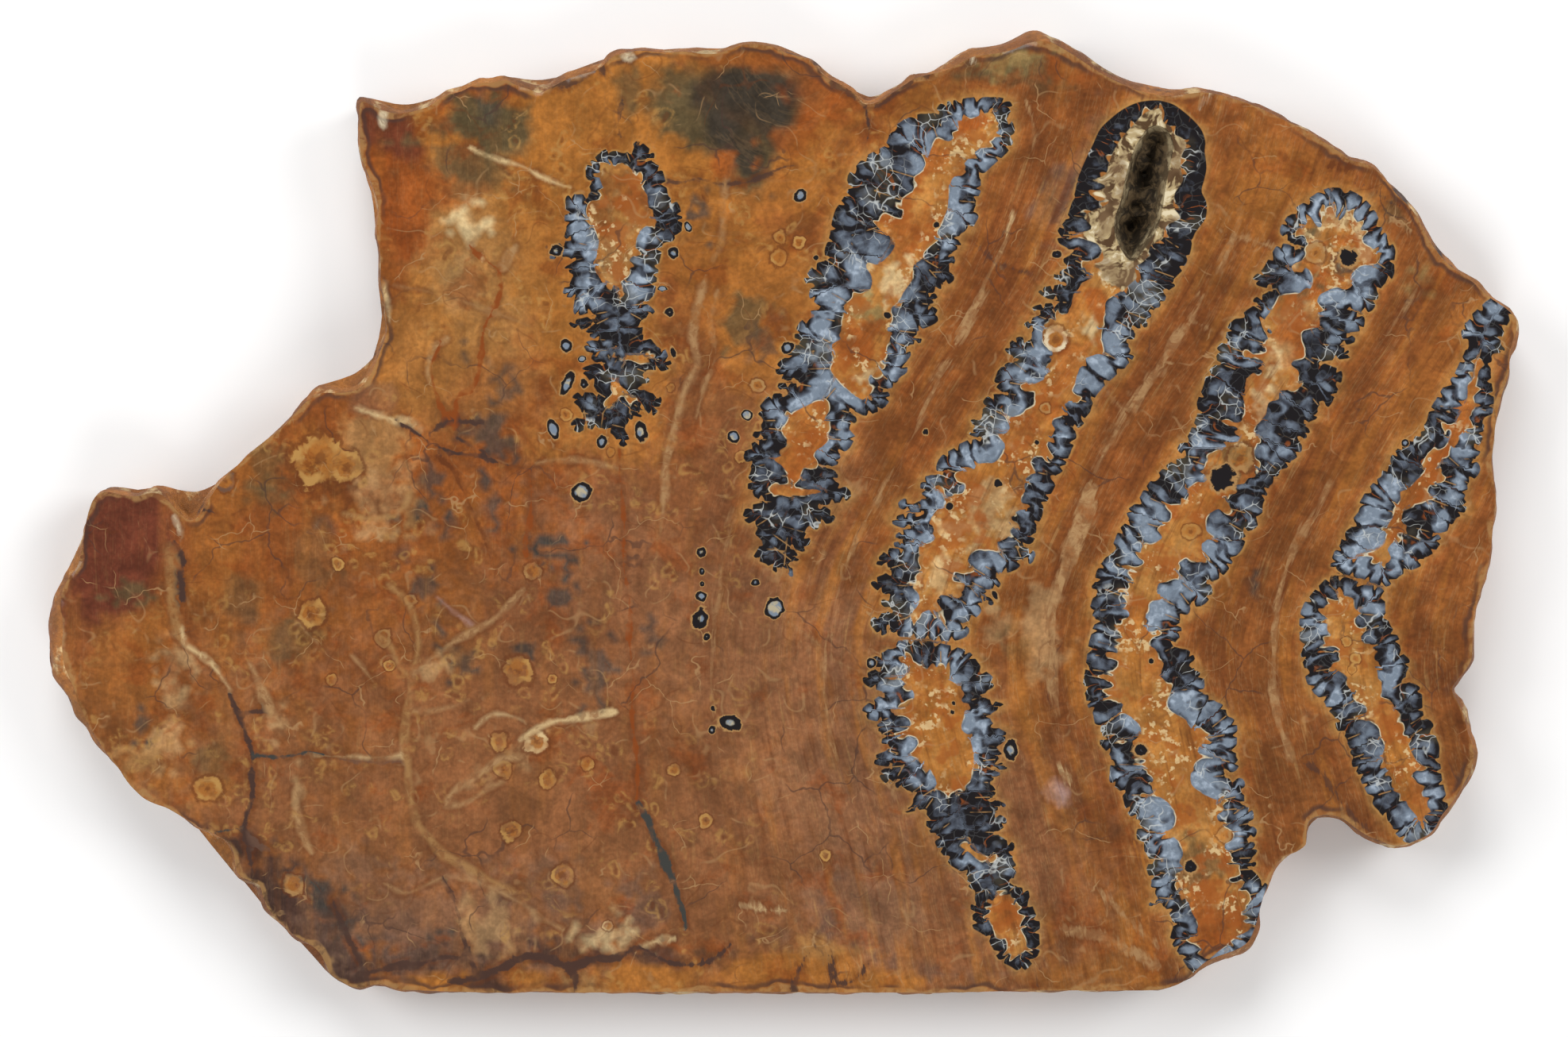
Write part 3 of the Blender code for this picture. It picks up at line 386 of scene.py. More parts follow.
STAINS = [Stain(*row) for row in (
    (Tint.MAUVE, -4, -20, 34, 17, 0, 0.35, 0.5), (Tint.MAUVE, -3, 2, 14, 14, 0, 0.25, 0.5),
    (Tint.OCHRE, -14, 31, 20, 6.5, 4, 0.95), (Tint.AMBER, -26, 20, 6, 8, 10, 0.85),
    (Tint.OCHRE, -30, 14, 5, 5, 30, 0.7), (Tint.AMBER, -25, 11, 6, 5, 0, 0.35),
    (Tint.OCHRE, -19, 24, 4, 7, 0, 0.75), (Tint.OCHRE, -14, 12, 5.5, 8, 0, 0.8),
    (Tint.OCHRE, -6, 22, 4, 7, 0, 0.55), (Tint.OCHRE, -1, 17, 4, 7, -10, 0.65),
    (Tint.OCHRE, 1, 27, 4, 3, 30, 0.5), (Tint.RUST, -31.2, 27, 3, 7.5, 8, 0.9),
    (Tint.RUST, -32, 20, 1.6, 4, 0, 0.7), (Tint.RED_EARTH, -27.5, 26.5, 3.5, 2.2, 20, 0.75),
    (Tint.WINE, -32.5, 31.3, 3.2, 1.9, -25, 0.85), (Tint.RED_EARTH, -24, 34.2, 5, 1, 12, 0.7),
    (Tint.WINE, -53.4, -2.2, 4.4, 5.2, -12, 1, 0.2), (Tint.WINE, -55.3, -6.7, 3.4, 3.6, -35, 1, 0.2),
    (Tint.WINE, -57.3, -9.5, 1.5, 3, 0, 0.8), (Tint.OCHRE, -53, -13, 3.5, 4.5, 0, 0.45),
    (Tint.BROWN, -55, -15, 4, 6, 20, 0.5), (Tint.OCHRE, -46, -5, 2.2, 7, 0, 0.35),
    (Tint.OLIVE, -46.3, -20.4, 1.5, 1.3, 0, 0.55), (Tint.OCHRE, -46.6, -22.5, 1.6, 1.3, 0, 0.5),
    (Tint.OCHRE, -44, 3, 3, 3, 45, 0.4), (Tint.OLIVE, -41.5, 3.2, 1.6, 3, 40, 0.5, 0.6),
    (Tint.OLIVE, -44, -7, 1.6, 2.2, 0, 0.45), (Tint.OLIVE, -40, -10.5, 2.4, 1.8, 20, 0.55),
    (Tint.OLIVE, -38.5, -3, 1.6, 3, 0, 0.4, 0.6), (Tint.DARK_DENTINE, -46.8, -8.8, 2, 2, 0, 0.35),
    (Tint.RED_EARTH, -32, 4.5, 4, 5, 20, 0.35), (Tint.TAN, -33.6, 5.5, 2.4, 3.4, 30, 0.65, 0.8),
    (Tint.PALE, -32.6, 1, 2, 2.2, 0, 0.6, 0.8), (Tint.MAUVE, -33, 9, 1.6, 1.6, 0, 0.5),
    (Tint.OCHRE, -37.8, 4.3, 2.4, 2.6, 0, 0.7), (Tint.DARK_DENTINE, -36.5, 1.8, 2.2, 0.7, -20, 0.7, 0.8),
    (Tint.TAN, -26.4, 18.2, 1.9, 2.3, 20, 0.75, 0.5), (Tint.CREAM, -25.6, 23, 1, 1.1, 20, 1, 0.7),
    (Tint.CREAM, -26.9, 23.8, 0.8, 0.35, 35, 0.8, 0.7), (Tint.OLIVE, -25.5, 32, 3, 1.5, 12, 0.95, 0.4),
    (Tint.OLIVE, -22.8, 31, 2.6, 2.2, -15, 0.95, 0.4), (Tint.TEAL, -23.8, 32.6, 1.2, 0.8, 0, 0.5, 0.5),
    (Tint.OLIVE, -25, 28.2, 3.6, 1.6, -10, 0.75, 0.5), (Tint.OLIVE, -24.5, 26.6, 2.8, 1.2, 0, 0.45, 0.6),
    (Tint.OLIVE, -4.2, 33, 6.6, 3.4, 4, 0.95, 0.2), (Tint.OLIVE, -3.2, 30, 3.4, 3.4, 4, 0.8, 0.3),
    (Tint.BLACK_OLIVE, -2.9, 34, 4.8, 2, 0, 1, 0.1), (Tint.BLACK_OLIVE, -2.6, 31.6, 3.9, 3.4, 5, 1, 0.1),
    (Tint.OLIVE, -2.4, 28.6, 1.5, 2.6, 5, 0.8, 0.2), (Tint.OLIVE, -9, 33.6, 1.6, 2.2, 20, 0.75, 0.5),
    (Tint.OLIVE, -12.6, 34.2, 1, 1.9, 0, 0.7, 0.5), (Tint.BLACK_OLIVE, -2.7, 28.8, 1.3, 2, 12, 0.9, 0.4),
    (Tint.OLIVE, -7.8, 31, 2.2, 1, -35, 0.6, 0.5), (Tint.RED_EARTH, -4.8, 28.2, 0.9, 1.6, 0, 0.9, 0.4),
    (Tint.RED_EARTH, 1.2, 30.4, 2.4, 1.2, 45, 0.7, 0.5), (Tint.RUST, 3.2, 33.6, 2.2, 2.4, -30, 0.6, 0.5),
    (Tint.RED_EARTH, -2.5, 36.8, 6, 0.7, 0, 0.6, 0.4), (Tint.OLIVE, 16.8, 35.6, 2.4, 0.8, -5, 0.85, 0.5),
    (Tint.MOSS, 19.2, 36.6, 2.2, 0.9, -8, 0.8, 0.6), (Tint.OLIVE, 20.8, 35.4, 1.9, 1.1, -25, 0.6, 0.5),
    (Tint.PLUM, 24, 27, 1, 5, -18, 0.35, 0.5), (Tint.PLUM, 22.2, 25.6, 1.1, 3.6, -20, 0.75, 0.4),
    (Tint.OCHRE, 41, 27, 5, 3, -25, 0.35), (Tint.OCHRE, 53, 11, 2, 7, -25, 0.3),
    (Tint.MOSS, 52.2, 18.8, 0.7, 0.9, 0, 0.6, 0.6), (Tint.OLIVE, 49.8, 24.3, 1.2, 0.6, -40, 0.6, 0.7),
    (Tint.RUST, 53.5, 18.8, 2.2, 0.9, 20, 0.5, 0.5), (Tint.TEAL, 38.4, -5.9, 0.45, 0.9, -10, 0.75, 0.5),
    (Tint.PINK, 22.3, -23, 0.9, 1.1, 30, 0.95, 0.25), (Tint.PALE, 20.8, -9.5, 1.9, 1.9, 0, 0.7, 0.9),
    (Tint.PALE, 17.6, -9.6, 1.2, 1, 0, 0.5, 0.8), (Tint.OLIVE, 19, -11.4, 1.1, 1, 0, 0.6, 0.9),
    (Tint.OCHRE, 14.8, -25.2, 2, 2.6, 20, 0.4), (Tint.OCHRE, 19.8, -14.5, 1.4, 4, 10, 0.35),
    (Tint.MAUVE, -28, -33.4, 12, 3.2, -4, 0.7, 0.6), (Tint.PLUM, -40.5, -32.6, 2.3, 2.4, 0, 0.8, 0.7),
    (Tint.DARK_PLUM, -40.4, -32.8, 6.2, 2, -56, 1, 0.5), (Tint.DARK_PLUM, -36, -36.6, 3.4, 1.6, -35, 1, 0.5),
    (Tint.DARK_PLUM, -30.6, -36.4, 3, 0.9, 0, 0.8, 0.7), (Tint.TEAL, -37.6, -31.6, 1.8, 0.5, -40, 0.8, 0.9),
    (Tint.PLUM, -24, -34.8, 9, 1.6, 0, 0.5, 0.9), (Tint.PLUM, -37, -34, 2.6, 2, -30, 0.65, 0.9),
    (Tint.PALE, -23.8, -33.8, 1.9, 1.3, 0, 0.7, 0.9), (Tint.PLUM, -27, -36.6, 6, 0.8, -3, 0.75, 0.9),
    (Tint.DARK_PLUM, -19, -36.2, 5, 0.6, 4, 0.8, 0.8), (Tint.DARK_PLUM, -9, -36.4, 6, 0.7, -6, 0.75, 0.8),
    (Tint.PLUM, -11.5, -33, 1.9, 1.6, -60, 0.55, 0.9), (Tint.CREAM, -14.3, -34.6, 1.3, 1, 20, 0.6, 1),
    (Tint.MAUVE, 7.5, -32.5, 5, 3.5, -30, 0.65, 0.6), (Tint.PLUM, 3.9, -33.4, 1, 1.7, 0, 0.7, 0.8),
    (Tint.MAUVE, 4, -22, 5, 6, 0, 0.3, 0.6), (Tint.OCHRE, -28.2, -38.4, 2.6, 0.8, 0, 0.95, 0.35),
    (Tint.DARK_PLUM, -24.3, -38.4, 1.4, 0.9, 0, 0.85, 0.6), (Tint.OCHRE, -20.5, -38, 1.6, 0.8, 0, 0.85, 0.4),
    (Tint.TAN, -16.4, -38.2, 1, 0.9, 0, 0.7, 0.6), (Tint.OCHRE, -10.8, -38, 4, 1.2, 0, 0.85, 0.4),
    (Tint.OCHRE, 1.2, -37.3, 5, 1.8, 0, 0.85, 0.4), (Tint.AMBER, 3, -35.4, 1.8, 0.9, 0, 0.8, 0.5),
    (Tint.OCHRE, 9, -38.2, 3.4, 0.9, 0, 0.75, 0.4), (Tint.PLUM, 10, -37, 2.6, 0.6, -12, 0.6, 0.6),
    (Tint.OCHRE, 25, -38, 6, 1.2, 0, 0.35, 0.4), (Tint.PALE, -49.6, -12.2, 0.8, 1.4, 0, 0.85, 0.8),
    (Tint.PALE, -49.2, -15, 1.2, 1.2, 0, 0.85, 0.9), (Tint.PALE, -50, -18.3, 0.7, 1.9, -15, 0.75, 0.9),
    (Tint.TAN, -51.8, -20.2, 2, 0.6, 10, 0.7, 0.8), (Tint.PALE, -41.1, -16.8, 0.8, 1, 30, 0.85, 0.6),
    (Tint.PALE, -27.6, -12.4, 1.3, 0.5, 38, 0.8, 0.6), (Tint.PALE, -39.4, -22.8, 0.4, 1.1, 0, 0.8, 0.6),
    (Tint.PALE, -21, -19.4, 2.6, 0.8, 25, 0.5, 0.9), (Tint.OLIVE, -2.8, 15.4, 1.3, 1.6, -20, 0.8, 1),
    (Tint.TEAL, -1.6, 13.6, 0.8, 1.3, -30, 0.55, 1), (Tint.TEAL, -23.7, 6.2, 1.2, 1.5, -20, 0.75, 1),
    (Tint.TEAL, -22.7, 10, 0.6, 1.2, 15, 0.6, 1.2), (Tint.TEAL, -28.7, 2, 0.7, 1.2, -10, 0.7, 1),
    (Tint.TEAL, -24.2, 2.9, 0.5, 0.9, 10, 0.8, 1), (Tint.TEAL, -23.7, 0, 0.5, 1.1, 10, 0.7, 1.2),
    (Tint.TEAL, -29.4, -0.2, 1.3, 0.4, 10, 0.6, 1.3), (Tint.TEAL, -27, -1.2, 0.5, 0.9, -30, 0.6, 1.2),
    (Tint.TEAL, -18.8, -2.6, 1.5, 0.4, 0, 0.85, 1.2), (Tint.TEAL, -19, -3.6, 0.5, 0.6, 0, 0.7, 1.2),
    (Tint.TEAL, -17.5, -4.6, 0.4, 0.6, 0, 0.8, 1.2), (Tint.TEAL, -18.2, -6.9, 0.8, 0.5, 20, 0.75, 1.2),
    (Tint.TEAL, -28.9, -6.2, 0.7, 0.8, 0, 0.65, 1.2), (Tint.TEAL, -28.1, -8.9, 0.25, 1.2, 12, 0.75, 1),
    (Tint.TEAL, -20.9, -11.2, 1.1, 0.3, -5, 0.8, 0.8), (Tint.TEAL, -25.8, -12.4, 0.6, 0.9, -15, 0.75, 0.9),
    (Tint.TEAL, -15.4, -13.2, 0.9, 1.9, -5, 0.7, 1), (Tint.TEAL, -10.6, -10.2, 0.5, 0.8, 0, 0.6, 1.2),
    (Tint.OLIVE, -42.2, 1.9, 1.4, 0.45, -10, 0.6, 0.8), (Tint.TEAL, -36.7, -1.4, 0.4, 0.8, 30, 0.5, 1),
    (Tint.OLIVE, -53.2, -6.6, 1.3, 0.6, 15, 0.75, 0.8), (Tint.TEAL, -52, -17.2, 0.5, 1.1, -20, 0.8, 0.9),
    (Tint.TEAL, -52.4, -18.6, 0.5, 0.3, 0, 0.7, 0.9), (Tint.TEAL, -37.3, -30.5, 0.9, 0.4, -30, 0.75, 0.9),
    (Tint.TEAL, -35.6, -33.6, 1.2, 0.8, -45, 0.5, 1.4), (Tint.TEAL, -27.9, -34.2, 0.5, 0.4, 20, 0.75, 0.9),
    (Tint.TEAL, -25.9, 13.5, 0.22, 0.8, 0, 0.6, 0.8), (Tint.TEAL, -6.2, 24, 0.3, 1.5, 8, 0.75, 0.8),
    (Tint.TEAL, -7.2, 24.9, 0.18, 0.7, -12, 0.8, 0.8), (Tint.TEAL, -30.7, -4, 0.4, 0.5, 0, 0.4, 1.2),
)]


CORE_STAINS = [Stain(*row) for row in (
    (Tint.CREAM, 45.2, 23.7, 1.5, 0.9, 10, 0.9, 1.2), (Tint.CREAM, 47.4, 21.9, 0.8, 1.5, -20, 0.9, 1.2),
    (Tint.CREAM, 42.4, 22.4, 0.8, 0.9, 0, 0.8, 1.2), (Tint.CREAM, 41.9, 19.9, 0.8, 0.7, 0, 0.7, 1.2),
    (Tint.OLIVE, 43.6, 21.2, 1.3, 1, 0, 0.8, 1), (Tint.TEAL, 46, 20.5, 1, 0.7, 0, 0.8, 1),
    (Tint.RED_EARTH, 45.6, 22.1, 1, 0.7, 0, 0.9, 0.6), (Tint.RED_EARTH, 43.2, 18.6, 2, 1, 40, 0.9, 0.6),
    (Tint.OLIVE, 41, 17.4, 1.3, 1.2, 0, 0.7, 1), (Tint.TAN, 43, 16, 1, 0.7, -30, 0.8, 1),
    (Tint.PALE, 40.4, 12.6, 1, 2.2, -15, 0.6, 1.2), (Tint.RED_EARTH, 41, 14.6, 1.6, 1.2, 0, 0.8, 0.8),
    (Tint.CREAM, 38.9, 9.8, 0.5, 1.6, -20, 0.7, 1.3), (Tint.OLIVE, 37.5, 4.3, 1.6, 1.6, 0, 0.7, 0.6),
    (Tint.OLIVE, 36, 2.6, 1.3, 1.2, 0, 0.8, 0.8), (Tint.RED_EARTH, 34.6, -0.6, 1.6, 1.6, 0, 0.6, 1),
    (Tint.RED_EARTH, 30.6, -10.6, 1, 3, 0, 0.6, 1), (Tint.OCHRE, 31.2, -20, 1.6, 5, 0, 0.5, 1),
    (Tint.OLIVE, 33, -28.6, 2, 1.4, 0, 0.7, 1), (Tint.RED_EARTH, 35, -34, 2.4, 3, 0, 0.6, 1),
    (Tint.RED_EARTH, 25.6, 16.8, 1.2, 1.1, 0, 0.9, 0.5), (Tint.CREAM, 25.2, 14.9, 0.6, 1, 0, 0.9, 0.8),
    (Tint.RED_EARTH, 23.4, 11.4, 1.6, 2.4, -30, 0.6, 1), (Tint.CREAM, 16.4, -0.4, 1.6, 2.6, -15, 0.5, 1.4),
    (Tint.CREAM, 12.8, -4.8, 1.2, 2, -15, 0.5, 1.4), (Tint.RED_EARTH, 19, 4.2, 2, 2.6, -20, 0.5, 1.2),
    (Tint.RED_EARTH, 15.4, 31.5, 1.4, 0.9, 30, 1, 0.6), (Tint.RED_EARTH, 12.4, 28.4, 2.2, 1.2, 40, 0.9, 0.8),
    (Tint.RED_EARTH, 9.4, 25.2, 1.8, 1.8, 0, 0.7, 0.8), (Tint.RED_EARTH, 9.6, 22, 1.2, 2.2, 0, 0.6, 1),
    (Tint.CREAM, 8.8, 18.7, 1.2, 1.1, 0, 0.8, 1.4), (Tint.MOSS, 6.9, 16.2, 1.2, 0.8, 0, 0.8, 0.8),
    (Tint.RED_EARTH, 5.9, 13.2, 1.7, 1.5, 0, 0.9, 0.6), (Tint.CREAM, 6.6, 10.8, 0.9, 0.4, 30, 0.8, 1),
    (Tint.RED_EARTH, 1.6, 5.2, 1.8, 2.6, -20, 0.6, 0.8), (Tint.BROWN, -14.4, 24.4, 2, 2.8, 0, 0.6, 1.2),
    (Tint.TAN, -13.6, 21.2, 1, 2, 0, 0.6, 1.2), (Tint.OCHRE, 13.6, -17, 2.4, 4, 0, 0.5, 1),
    (Tint.RED_EARTH, 18.6, -32.6, 1.8, 2.4, 0, 0.7, 1), (Tint.RED_EARTH, 53, 4, 2, 9, -22, 0.8, 0.6),
    (Tint.HONEY, 45.9, -12, 1.6, 3, 0, 0.5, 1.2), (Tint.OCHRE, 49.5, -21.5, 1.6, 3.5, 15, 0.7, 0.8),
)]


@dataclass(frozen=True)
class Stroke:
    """A crack or a vein: its tint, width, how strongly it shows and the points that it runs through."""

    tint: Tint
    width: float
    strength: float
    route: tuple[Point, ...]


CRACKS = [Stroke(*row) for row in (
    (Tint.DARK_PLUM, 0.24, 1, ((-44.9, -14.8), (-44.3, -16.2), (-43.8, -17.5), (-43.3, -18.9), (-43.1, -20.2),
     (-43.1, -21.6), (-43, -22.6), (-43.3, -24), (-43.7, -25.3), (-43.6, -26.5), (-43.3, -27.8),
     (-43, -29.4))),
    (Tint.TEAL, 0.26, 1, ((-43.1, -19.8), (-41.5, -19.95), (-39.7, -19.85), (-38.5, -19.5), (-37.2, -19.8))),
    (Tint.PLUM, 0.30, 0.6, ((-37.2, -19.9), (-35, -20.2), (-33, -20.4), (-31, -20.3))),
    (Tint.TEAL, 0.16, 1, ((-46.8, -26.1), (-45.3, -25.95), (-43.8, -25.7))),
    (Tint.DARK_PLUM, 0.18, 0.9, ((-44.1, -16.6), (-43.2, -16.3), (-42.2, -16.35))),
    (Tint.PLUM, 0.18, 0.8, ((-43.3, -26.3), (-42.6, -27.2), (-41.7, -27.5))),
    (Tint.DARK_PLUM, 0.75, 1, ((-49.4, -2.4), (-49, -3.2), (-48.8, -4.2), (-48.9, -5.4), (-48.75, -6.4),
     (-48.8, -7.3))),
    (Tint.DARK_PLUM, 0.24, 1, ((-47.8, 0.35), (-46.9, 0.15), (-46.1, -0.15))),
    (Tint.DARK_PLUM, 0.26, 1, ((-31.4, 7.4), (-30.2, 6.8), (-28.9, 5.8), (-27.6, 5.1), (-26.2, 4.7),
     (-24.6, 4.5), (-23.2, 4), (-21.6, 3.6), (-20.4, 3.4))),
    (Tint.DARK_PLUM, 0.20, 0.95, ((-28.7, 6.3), (-27.9, 6.8), (-27.1, 7.4), (-26, 7.3), (-24.4, 7.2))),
    (Tint.RUST, 0.24, 0.85, ((-27, 7.4), (-27.6, 8.3), (-28.2, 9.8), (-28.5, 11.2), (-28.3, 12.6),
     (-27.7, 13.8))),
    (Tint.RUST, 0.26, 0.9, ((-26.7, 6.6), (-26.5, 8), (-26.4, 9.3), (-25.2, 10), (-24.7, 11.2), (-24.4, 12.8),
     (-24.3, 14.4), (-23.9, 15.6), (-23.2, 16.9), (-22.8, 18.2), (-23, 19.4), (-23.8, 20.2), (-24.8, 20.9),
     (-25.4, 21.6))),
    (Tint.DARK_PLUM, 0.26, 1, ((-26.4, 6), (-25.4, 5.4), (-24.2, 4.8))),
    (Tint.DARK_DENTINE, 0.55, 0.9, ((-28.2, 4.5), (-27.6, 4.1), (-26.9, 3.5))),
    (Tint.RUST, 0.22, 0.8, ((-20.5, 3.4), (-20.4, 1.8), (-20.4, 0.3), (-20.6, -1.2), (-20.9, -2.3),
     (-20.8, -3.6))),
    (Tint.DARK_DENTINE, 0.2, 0.7, ((-26.7, 3.3), (-26.1, 2), (-25.4, 0.6), (-24.9, -0.6), (-24.3, -2),
     (-23.7, -3.8))),
    (Tint.DARK_PLUM, 0.22, 0.95, ((-13, 33.4), (-13.2, 32.2), (-13.3, 31.3), (-13.1, 30.4))),
    (Tint.DARK_PLUM, 0.16, 0.8, ((-9.8, 26.9), (-8.3, 26.75), (-6.9, 27), (-5.6, 26.7), (-4, 26.6),
     (-2.6, 26.8), (-1.2, 27.4), (0.2, 28), (1.2, 28.1))),
    (Tint.DARK_DENTINE, 0.22, 0.9, ((-7, 27), (-6.5, 26.2), (-6.1, 25.2))),
    (Tint.DARK_PLUM, 0.24, 0.95, ((6.8, 33), (6.9, 32), (7.1, 31), (6.8, 30), (6.3, 29.2))),
    (Tint.DARK_PLUM, 0.20, 0.9, ((-27.6, -29.6), (-26.8, -31.3), (-26.3, -32.8), (-26.1, -34.2),
     (-25.6, -35.6), (-25, -37.2))),
    (Tint.DARK_PLUM, 0.30, 0.9, ((-36.6, -31.4), (-35.9, -33.3), (-35.2, -34.8), (-34.3, -36.4),
     (-33.6, -38.4))),
    (Tint.DARK_PLUM, 0.40, 0.9, ((-34.5, -37.6), (-32.8, -37.3), (-31, -36.9), (-29, -36.7), (-27.4, -36.2),
     (-25.6, -36.4))),
    (Tint.DARK_PLUM, 0.50, 0.95, ((-27.2, -38.2), (-25.4, -38), (-23.6, -37.4), (-22.2, -36.8),
     (-20.8, -36.1), (-19, -36.3), (-17.2, -37), (-15.6, -36.4), (-13.6, -36.3), (-11.6, -35.4),
     (-10.2, -36.2), (-8.6, -36.8), (-6.8, -36.8), (-5.2, -36.2), (-4.2, -35.2))),
    (Tint.DARK_PLUM, 0.24, 0.9, ((-17.1, -37), (-16.9, -38), (-16.8, -39.1))),
    (Tint.TEAL, 0.60, 1, ((-11.7, -23.6), (-11, -25), (-10.3, -26.6), (-9.6, -28.2), (-9, -29.6),
     (-8.4, -31.2), (-8, -32.6), (-7.8, -33.9))),
    (Tint.RUST, 0.26, 0.85, ((-13.2, 5), (-13.2, 3.4), (-13, 1), (-12.8, -1.6), (-12.9, -4.2), (-12.4, -7.2),
     (-12.4, -10.4), (-12.1, -13.6), (-12.2, -16.4), (-11.9, -19.2), (-11.7, -21.6), (-11.8, -23.4))),
    (Tint.DARK_PLUM, 0.20, 0.9, ((2.6, -35.4), (1.8, -36.4), (1.3, -37.6), (0.9, -39.1))),
    (Tint.DARK_PLUM, 0.30, 0.9, ((2.5, -35.2), (3.4, -36), (4.2, -36.2), (4, -37.4), (4.8, -38.4),
     (5.6, -38.2), (6.4, -37.6), (7, -36.8))),
    (Tint.DARK_PLUM, 0.16, 0.6, ((15.8, 21.6), (17, 20.6), (18.2, 19.9), (19.8, 19.4), (21, 19.1))),
    (Tint.DARK_DENTINE, 0.20, 0.8, ((44.4, 28), (45.6, 28.3), (46.4, 28), (45.4, 27.6))),
    (Tint.DARK_PLUM, 0.22, 0.8, ((46.2, 26.8), (47.2, 26.5), (48.2, 26.1), (48.8, 25.4), (50.2, 24.8),
     (51.4, 24.4))),
    (Tint.DARK_PLUM, 0.30, 0.6, ((42.2, -20.4), (43.4, -21), (44.6, -22.2), (45.6, -23.8), (46.8, -25.2),
     (48.2, -26.4))),
    (Tint.DARK_PLUM, 0.22, 0.7, ((20.6, -38.8), (20.9, -37.4), (21.4, -36.2))),
    (Tint.DARK_PLUM, 0.20, 0.8, ((-14.8, 36.9), (-14.6, 36), (-14.3, 35.1))),
    (Tint.DARK_PLUM, 0.9, 0.8, ((-18.6, 34.4), (-17.4, 35), (-16, 35.5), (-15.2, 35.9))),
    (Tint.DARK_PLUM, 0.35, 0.7, ((2.4, 36.8), (3.2, 35.6), (4.4, 34.6), (5.6, 33.9), (6.6, 33))),
    (Tint.DARK_PLUM, 0.5, 0.7, ((7.6, 32.8), (8.8, 33.6), (10.2, 34.8), (12, 35.6))),
)]

